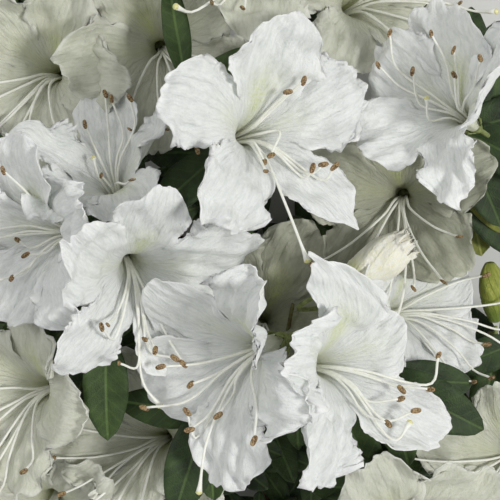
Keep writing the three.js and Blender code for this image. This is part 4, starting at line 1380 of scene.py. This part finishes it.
@dataclass
class Foliage:
    """The leafy shoots: the source's own leaves, and smaller ones between them by the same rule."""

    tries: int = 6
    turn: float = 23
    whorl_length: float = 13
    first_leaf: float = 1.5
    stray: float = 10
    rise_range: float = 22
    smallest: float = 0.82
    size_range: float = 0.26
    touching: float = 0.7
    lowest: float = 0.4
    highest: float = 60
    extra: int = 12
    shoot_radii: tuple = (1.35, 1.1)
    sprig_radii: tuple = (0.9, 0.7)
    sprig_start: float = 62
    sprig_spacing: float = 17
    sprig_length: float = 17
    sprig_leaves: int = 6
    sprig_grid: tuple = (6, 12)
    mature_share: float = 0.6
    summer_share: float = 0.35
    leaf: Leaf = field(default_factory=Leaf)

    def tree_of(self, pose: tuple) -> BVHTree:
        """Returns a search tree of the plain leaf at a pose: its place, direction, rise and length."""
        return sheet_tree(self.leaf.blade(*pose, *COARSE)[0])

    def source_leaves(self, shoot: Shoot, number: int) -> list:
        """Finds which of the rule's leaves the shoot's own solid holds.

        Args:
            shoot: The shoot.
            number: Its place in the source's list, which seeds its leaves.

        Returns:
            The poses of those leaves.
        """
        solid = solid_tree(shoot.name)
        random = source_random(100 + number)
        path = shoot.path
        length = path_length(path)
        found = []
        for k, toward in enumerate(shoot.leaves):
            down = self.first_leaf + (k / len(shoot.leaves)) * min(self.whorl_length, length * 0.6)
            at = path[int(round((1 - down / length) * (len(path) - 1)))]
            direction = toward + (random() - 0.5) * self.stray
            rise = shoot.rise - self.rise_range * random()
            size = self.leaf.length * (self.smallest + self.size_range * random())
            for turn in range(self.tries):
                aside = (self.turn if turn % 2 else -self.turn) * math.ceil(turn / 2)
                pose = (at, direction + aside, rise - 5 * turn, size * (1 - 0.04 * turn))
                points, _ = self.leaf.blade(*pose, *COARSE)
                near = [solid.find_nearest(Vector((points[i, 1] + SHIFT) * MM))[3] for i in (2, 3, 4)]
                if max(near) < self.touching * MM:
                    found.append(pose)
                    break
        return found

    def first_fit(self, poses: Iterator[tuple], taken: list) -> list:
        """Takes room for the first leaf that touches nothing.

        Args:
            poses: The poses to try, in order.
            taken: The search trees of what is there, which the leaf joins.

        Returns:
            The pose that fits, or nothing.
        """
        for pose in poses:
            heights = self.leaf.blade(*pose, *COARSE)[0][..., 2]
            if heights.min() < self.lowest or heights.max() > self.highest:
                continue
            tree = self.tree_of(pose)
            if not any(tree.overlap(other) for other in taken):
                taken.append(tree)
                return [pose]
        return []

    def more_leaves(self, shoot: Shoot, number: int, taken: list) -> list:
        """Grows leaves in the room between the others.

        Args:
            shoot: The shoot.
            number: Seeds its leaves.
            taken: The search trees of what is there.

        Returns:
            The poses of the leaves that touch nothing.
        """
        random = Seed.MORE_LEAVES.draws(number)
        path = shoot.path
        found = []
        for _ in range(self.extra):
            at = path[int((0.2 + 0.75 * random.random()) * (len(path) - 1))]
            size = self.leaf.length * (0.5 + 0.4 * random.random())
            poses = ((at, random.random() * 360, 40 - 55 * random.random(), size)
                     for _ in range(self.tries * 2))
            found += self.first_fit(poses, taken)
        return found

    def sprigs(self, taken: list) -> list:
        """Grows short leafy sprigs out of the wood, turned on from one to the next by the golden angle.

        Args:
            taken: The search trees of what is there.

        Returns:
            The path of each sprig and the poses of its leaves.
        """
        random = Seed.SPRIGS.draws()
        found = []
        for limb in LIMBS:
            path = smooth_curve(limb.points, 200)
            length = path_length(path)
            ahead, across, above = frames_along(path)
            turn = 360 * random.random()
            first = self.sprig_start if limb.name == "main_stem" else self.sprig_spacing
            for run in np.arange(first, length, self.sprig_spacing):
                k = int(run / length * (len(path) - 1))
                turn += GOLDEN_ANGLE
                a = math.radians(turn)
                way = across[k] * math.cos(a) - above[k] * abs(math.sin(a)) * 0.6 + ahead[k] * 0.5
                way[2] = abs(way[2]) + 0.15
                way *= self.sprig_length * (0.6 + 0.7 * random.random()) / np.linalg.norm(way)
                stem = smooth_curve([path[k], path[k] + way * 0.5 + (0, 0, 1), path[k] + way], 20)
                leaves = []
                for j in range(self.sprig_leaves):
                    at = stem[int((1 - 0.14 * j) * (len(stem) - 1))]
                    size = self.leaf.length * (0.45 + 0.45 * random.random())
                    toward = turn + j * GOLDEN_ANGLE
                    poses = ((at, toward + 60 * random.random(), 36 - 36 * random.random(), size)
                             for _ in range(self.tries))
                    leaves += self.first_fit(poses, taken)
                found.append((stem, leaves))
        return found

    def build(self) -> None:
        """Builds the shoots and their leaves."""
        leaf = self.leaf
        taken = [solid_tree(name) for name in frame["nodes"] if "leaves" not in name]
        blades, low_blades, stems = Surface(), Surface(), Surface()
        grown = [self.source_leaves(shoot, number) for number, shoot in enumerate(SHOOTS)]
        taken += [self.tree_of(pose) for poses in grown for pose in poses]
        for shoot in SHOOTS:
            path = shoot.path
            for share, direction, rise, length, age in shoot.more:
                pose = (path[int(share * (len(path) - 1))], direction, rise, length)
                random = np.random.default_rng(direction)
                blades.add_grid(*leaf.blade(*pose, *leaf.grid, random), look=age.value)
                taken.append(self.tree_of(pose))
        for number, shoot in enumerate(SHOOTS):
            grown[number] += self.more_leaves(shoot, number, taken)
            log.info("%s: %d leaves", shoot.name, len(grown[number]))
        for number, (shoot, poses) in enumerate(zip(SHOOTS, grown)):
            random = Seed.LEAVES.draws(number)
            for pose in poses:
                blade = leaf.blade(*pose, *leaf.grid, random, shoot.slim)
                age = Age.MATURE if random.random() < self.mature_share else Age.SUMMER
                blades.add_grid(*blade, look=age.value)
            stems.add_tube(shoot.path[::2], np.linspace(*self.shoot_radii, 30), 10)
        random = Seed.SPRIG_LEAVES.draws()
        for stem, poses in self.sprigs(taken):
            stems.add_tube(stem, np.linspace(*self.sprig_radii, len(stem)), 8)
            for pose in poses:
                blade = leaf.blade(*pose, *self.sprig_grid, random)
                age = Age.SUMMER if random.random() < self.summer_share else Age.MATURE
                low_blades.add_grid(*blade, look=age.value)
        finishes = [
            LeafTissue("mature_leaf", "#33491f", "#1c2c11", "#4f6536").material(),
            LeafTissue("summer_leaf", "#425a27", "#2a3d18", "#607a42").material(),
            LeafTissue("young_leaf", "#83862f", "#626c28", "#a8ab5c").material(),
        ]
        leaves = blades.build("leaf_blades", finishes, thickness=leaf.thickness)
        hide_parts(*(shoot.name for shoot in SHOOTS))
        low_leaves = low_blades.build("low_leaf_blades", finishes, thickness=leaf.thickness)
        green = GrownTissue("green_shoot", "#77794a", "#5d4a30", roughness=0.6)
        shoots = stems.build("green_shoots", [green.material()])


@dataclass
class Bud:
    """A bud: petals rolled round each other, to a ragged tip once it starts to open."""

    name: str
    start: tuple
    foot: tuple
    aim: tuple
    length: float
    radius: float
    closed: bool = False
    foot_radius: float = 1.3
    sides: int = 72
    rows: int = 60
    rolled: int = 3
    pattern: float = 0.45
    turns: float = 1.5
    overlap: float = 0.17
    tips: int = 6
    tip_thickness: float = 0.35
    tip_waves: tuple = (5, 5, 1.4)

    @property
    def axis(self) -> Array:
        """The bud's direction."""
        return unit(np.array(self.aim, float))

    @property
    def finish(self) -> PetalTissue:
        """The bud's surface: green while it is closed; once its petals show, a cream brightened by painted
        light.
        """
        if self.closed:
            return PetalTissue("green_bud_scale", "#a2a84a", "#7b8836", "#bfc36c", "#6f8233", glow=0.15)
        # Its own cream, set brighter than the blooms' white: painted light where the blooms above shade it
        return PetalTissue("bud_petal_with_painted_light", "#fffcf0", "#f5f0d2", "#ffffff", "#b9c662")

    def build(self) -> None:
        """Builds the bud."""
        surface = Surface()
        u = np.linspace(0, 1, self.rows)[:, None]
        path = np.array(self.foot) + self.axis * u * self.length * 0.9
        bulge = np.sin(math.pi * (0.04 + (0.94 if self.closed else 0.72) * u**1.25)) ** 0.8
        swell = self.foot_radius + (self.radius - self.foot_radius) * bulge
        turn = np.linspace(0, TAU, self.sides, endpoint=False)
        twist = turn + u * self.turns
        fold = (twist * self.rolled / TAU) % 1
        radii = swell * (1 + (self.overlap * fold**2 - 0.07 + 0.012 * np.cos(twist * 11)))
        coords = np.stack([twist * self.pattern, u * self.length + turn * 0], -1)
        green = 1 - smooth(u * 2.2 + 0.2 * np.cos(twist * 2)) + turn * 0
        tints = np.stack([green, green * 0, green * 0], -1)
        surface.add_grid(tube(path, radii, self.sides), coords, tints, closed=True)
        if not self.closed:
            self.add_tips(surface, path[-1], float(swell[-1, 0]))
        piece = surface.build(self.name + "_petals", [self.finish.material()])
        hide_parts(self.name)

    def add_tips(self, surface: Surface, end: Array, wide: float) -> None:
        """Adds the crumpled tips of the rolled petals.

        Args:
            surface: Where they go.
            end: The middle of the bud's blunt end.
            wide: Its radius there.
        """
        random = np.random.default_rng(int(self.length * 10))
        side = unit(np.cross(self.axis, UP))
        above = np.cross(side, self.axis)
        across, along = sheet_steps(8, 8)
        for k in range(self.tips):
            a = TAU * (k + 0.4 * random.random()) / self.tips
            high = self.length * (0.1 + 0.07 * random.random())
            ragged = 0.9 * Waves(random, *self.tip_waves).at(across * 3, along * 3)
            angle = a + across * 0.6 * (1 - 0.35 * along)
            outward = np.cos(angle)[..., None] * side + np.sin(angle)[..., None] * above
            radius = wide * (0.98 - 0.2 * along**2 + 0.06 * k / 6) + ragged * 0.6 * along
            rise = -1.5 + (high + 1.5 + ragged - 0.8 * across**2) * along
            sheet = end + radius[..., None] * outward + rise[..., None] * self.axis
            inner = sheet - outward * self.tip_thickness
            coords = np.stack([angle * self.pattern, rise], -1)
            surface.add_grid(np.concatenate([sheet, inner[:, ::-1]], 1),
                             np.concatenate([coords, coords[:, ::-1]], 1), closed=True)


BUDS = (
    Bud("bud_middle", (40, -21, 38), (31.5, -12, 81), (25, 15, 4), 29, 7.3),
    Bud("bud_right", (94, -33, 41), (94.5, -27.5, 46), (-3, 23, 5), 26, 5.2, closed=True),
)


@dataclass
class Flowers:
    """All the blooms and buds of the branch."""

    corolla: Corolla = field(default_factory=Corolla)
    stamens: Stamens = field(default_factory=Stamens)
    front_grid: tuple = (36, 46)
    back_grid: tuple = (22, 28)

    def add_stalk(self, surface: Surface, start: tuple, foot: Array, axis: Array) -> None:
        """Adds the stalk from a shoot's tip to a flower's foot.

        Args:
            surface: Where it goes.
            start: The shoot's tip.
            foot: The flower's foot.
            axis: The flower's direction.
        """
        first = np.array(start, float) - (0, 0, 1)
        end = foot - axis * self.stamens.cup_length / 2
        bow = np.linalg.norm(end - first) / 3
        low = first + (end - first) * 0.12 + np.array([0, 0, bow])
        path = smooth_curve([first, low, end - axis * bow, end], 24)
        surface.add_tube(path, np.full(len(path), self.stamens.stalk_radius), 8, self.stamens.green_look)

    def build(self) -> None:
        """Builds every bloom's petals as a piece of its own, and the small parts joined."""
        petals = {age: age.value.material() for age in Petals}
        small = Surface()
        ends = {shoot.name: shoot.end for shoot in SHOOTS}
        for bloom in BLOOMS:
            surface = Surface()
            self.corolla.add_to(surface, bloom, *(self.front_grid if bloom.front else self.back_grid))
            piece = surface.build(bloom.node + "_petals", [petals[bloom.petals]], weld=True,
                                  thickness=self.corolla.thickness)
            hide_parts(bloom.node)
            self.stamens.add_to(small, bloom)
            self.add_stalk(small, ends[bloom.shoot], bloom.foot, bloom.axes[2])
        for bud in BUDS:
            bud.build()
            self.add_stalk(small, bud.start, np.array(bud.foot, float), bud.axis)
        stamens = small.build("stamens_and_stalks", [
            GrownTissue("filament", "#fdfdf9", "#f4f4e8", roughness=0.4).material(),
            GrownTissue("anther", "#b39870", "#4c3622", grain_mm=0.55, roughness=0.75).material(),
            GrownTissue("stigma", "#efecb8", "#d9d387", grain_mm=0.8, roughness=0.25).material(),
            GrownTissue("flower_stalk", "#8f9a5e", "#6d7547", roughness=0.55).material(),
        ])


@dataclass(frozen=True)
class Lamp:
    """A soft square light, with its place and side in metres and its power in watts."""

    name: str
    place: tuple
    side: float
    power: float
    colour: str


@dataclass
class Studio:
    """The floor, lights and camera."""

    lamps: tuple = (Lamp("key_light", (0.8, -0.1, 1.15), 0.25, 9.5, "#fffefa"),
                    Lamp("fill_light", (-0.9, 0.5, 1.0), 0.7, 4, "#fdfcf8"))
    aim: tuple = (0, 0, 0.05)
    air: str = "#f4f6f5"
    air_strength: float = 0.46
    floor_half: float = 3
    camera_height: float = 500
    focal_plane: float = 400
    view_width: float = 170
    sensor: float = 36

    def add_lamp(self, lamp: Lamp) -> None:
        """Adds a light that faces the middle of the branch.

        Args:
            lamp: The light.
        """
        data = bpy.data.lights.new(lamp.name, "AREA")
        data.size = lamp.side
        data.energy = lamp.power
        data.color = linear(lamp.colour)[:3]
        light = bpy.data.objects.new(lamp.name, data)
        light.location = lamp.place
        light.rotation_euler = (Vector(self.aim) - Vector(lamp.place)).to_track_quat("-Z", "Y").to_euler()
        bpy.context.collection.objects.link(light)

    def build(self) -> None:
        """Builds the studio around the branch."""
        far = self.floor_half
        mesh = bpy.data.meshes.new("floor")
        corners = [(-far, -far, 0), (far, -far, 0), (far, far, 0), (-far, far, 0)]
        mesh.from_pydata(corners, [], [(0, 1, 2, 3)])
        mesh.materials.append(FloorPaper().material())
        floor = bpy.data.objects.new("floor", mesh)
        bpy.context.collection.objects.link(floor)
        for lamp in self.lamps:
            self.add_lamp(lamp)
        world = bpy.data.worlds.new("studio_air")
        world.use_nodes = True
        air = world.node_tree.nodes["Background"].inputs
        air[0].default_value = linear(self.air)
        air[1].default_value = self.air_strength
        bpy.context.scene.world = world
        bpy.context.scene.view_settings.view_transform = "Standard"
        data = bpy.data.cameras.new("camera")
        data.sensor_width = self.sensor
        data.lens = self.sensor * self.focal_plane / self.view_width
        data.clip_start = 0.01
        camera = bpy.data.objects.new("camera", data)
        camera.location = (SHIFT + (0, 0, self.camera_height)) * MM
        bpy.context.collection.objects.link(camera)
        bpy.context.scene.camera = camera


def main() -> None:
    """Builds the branch and its studio."""
    logging.basicConfig(level=logging.INFO, format="%(message)s")
    for part in (Studio(), Wood(), Flowers(), Foliage()):
        part.build()


if __name__ == "__main__":
    main()
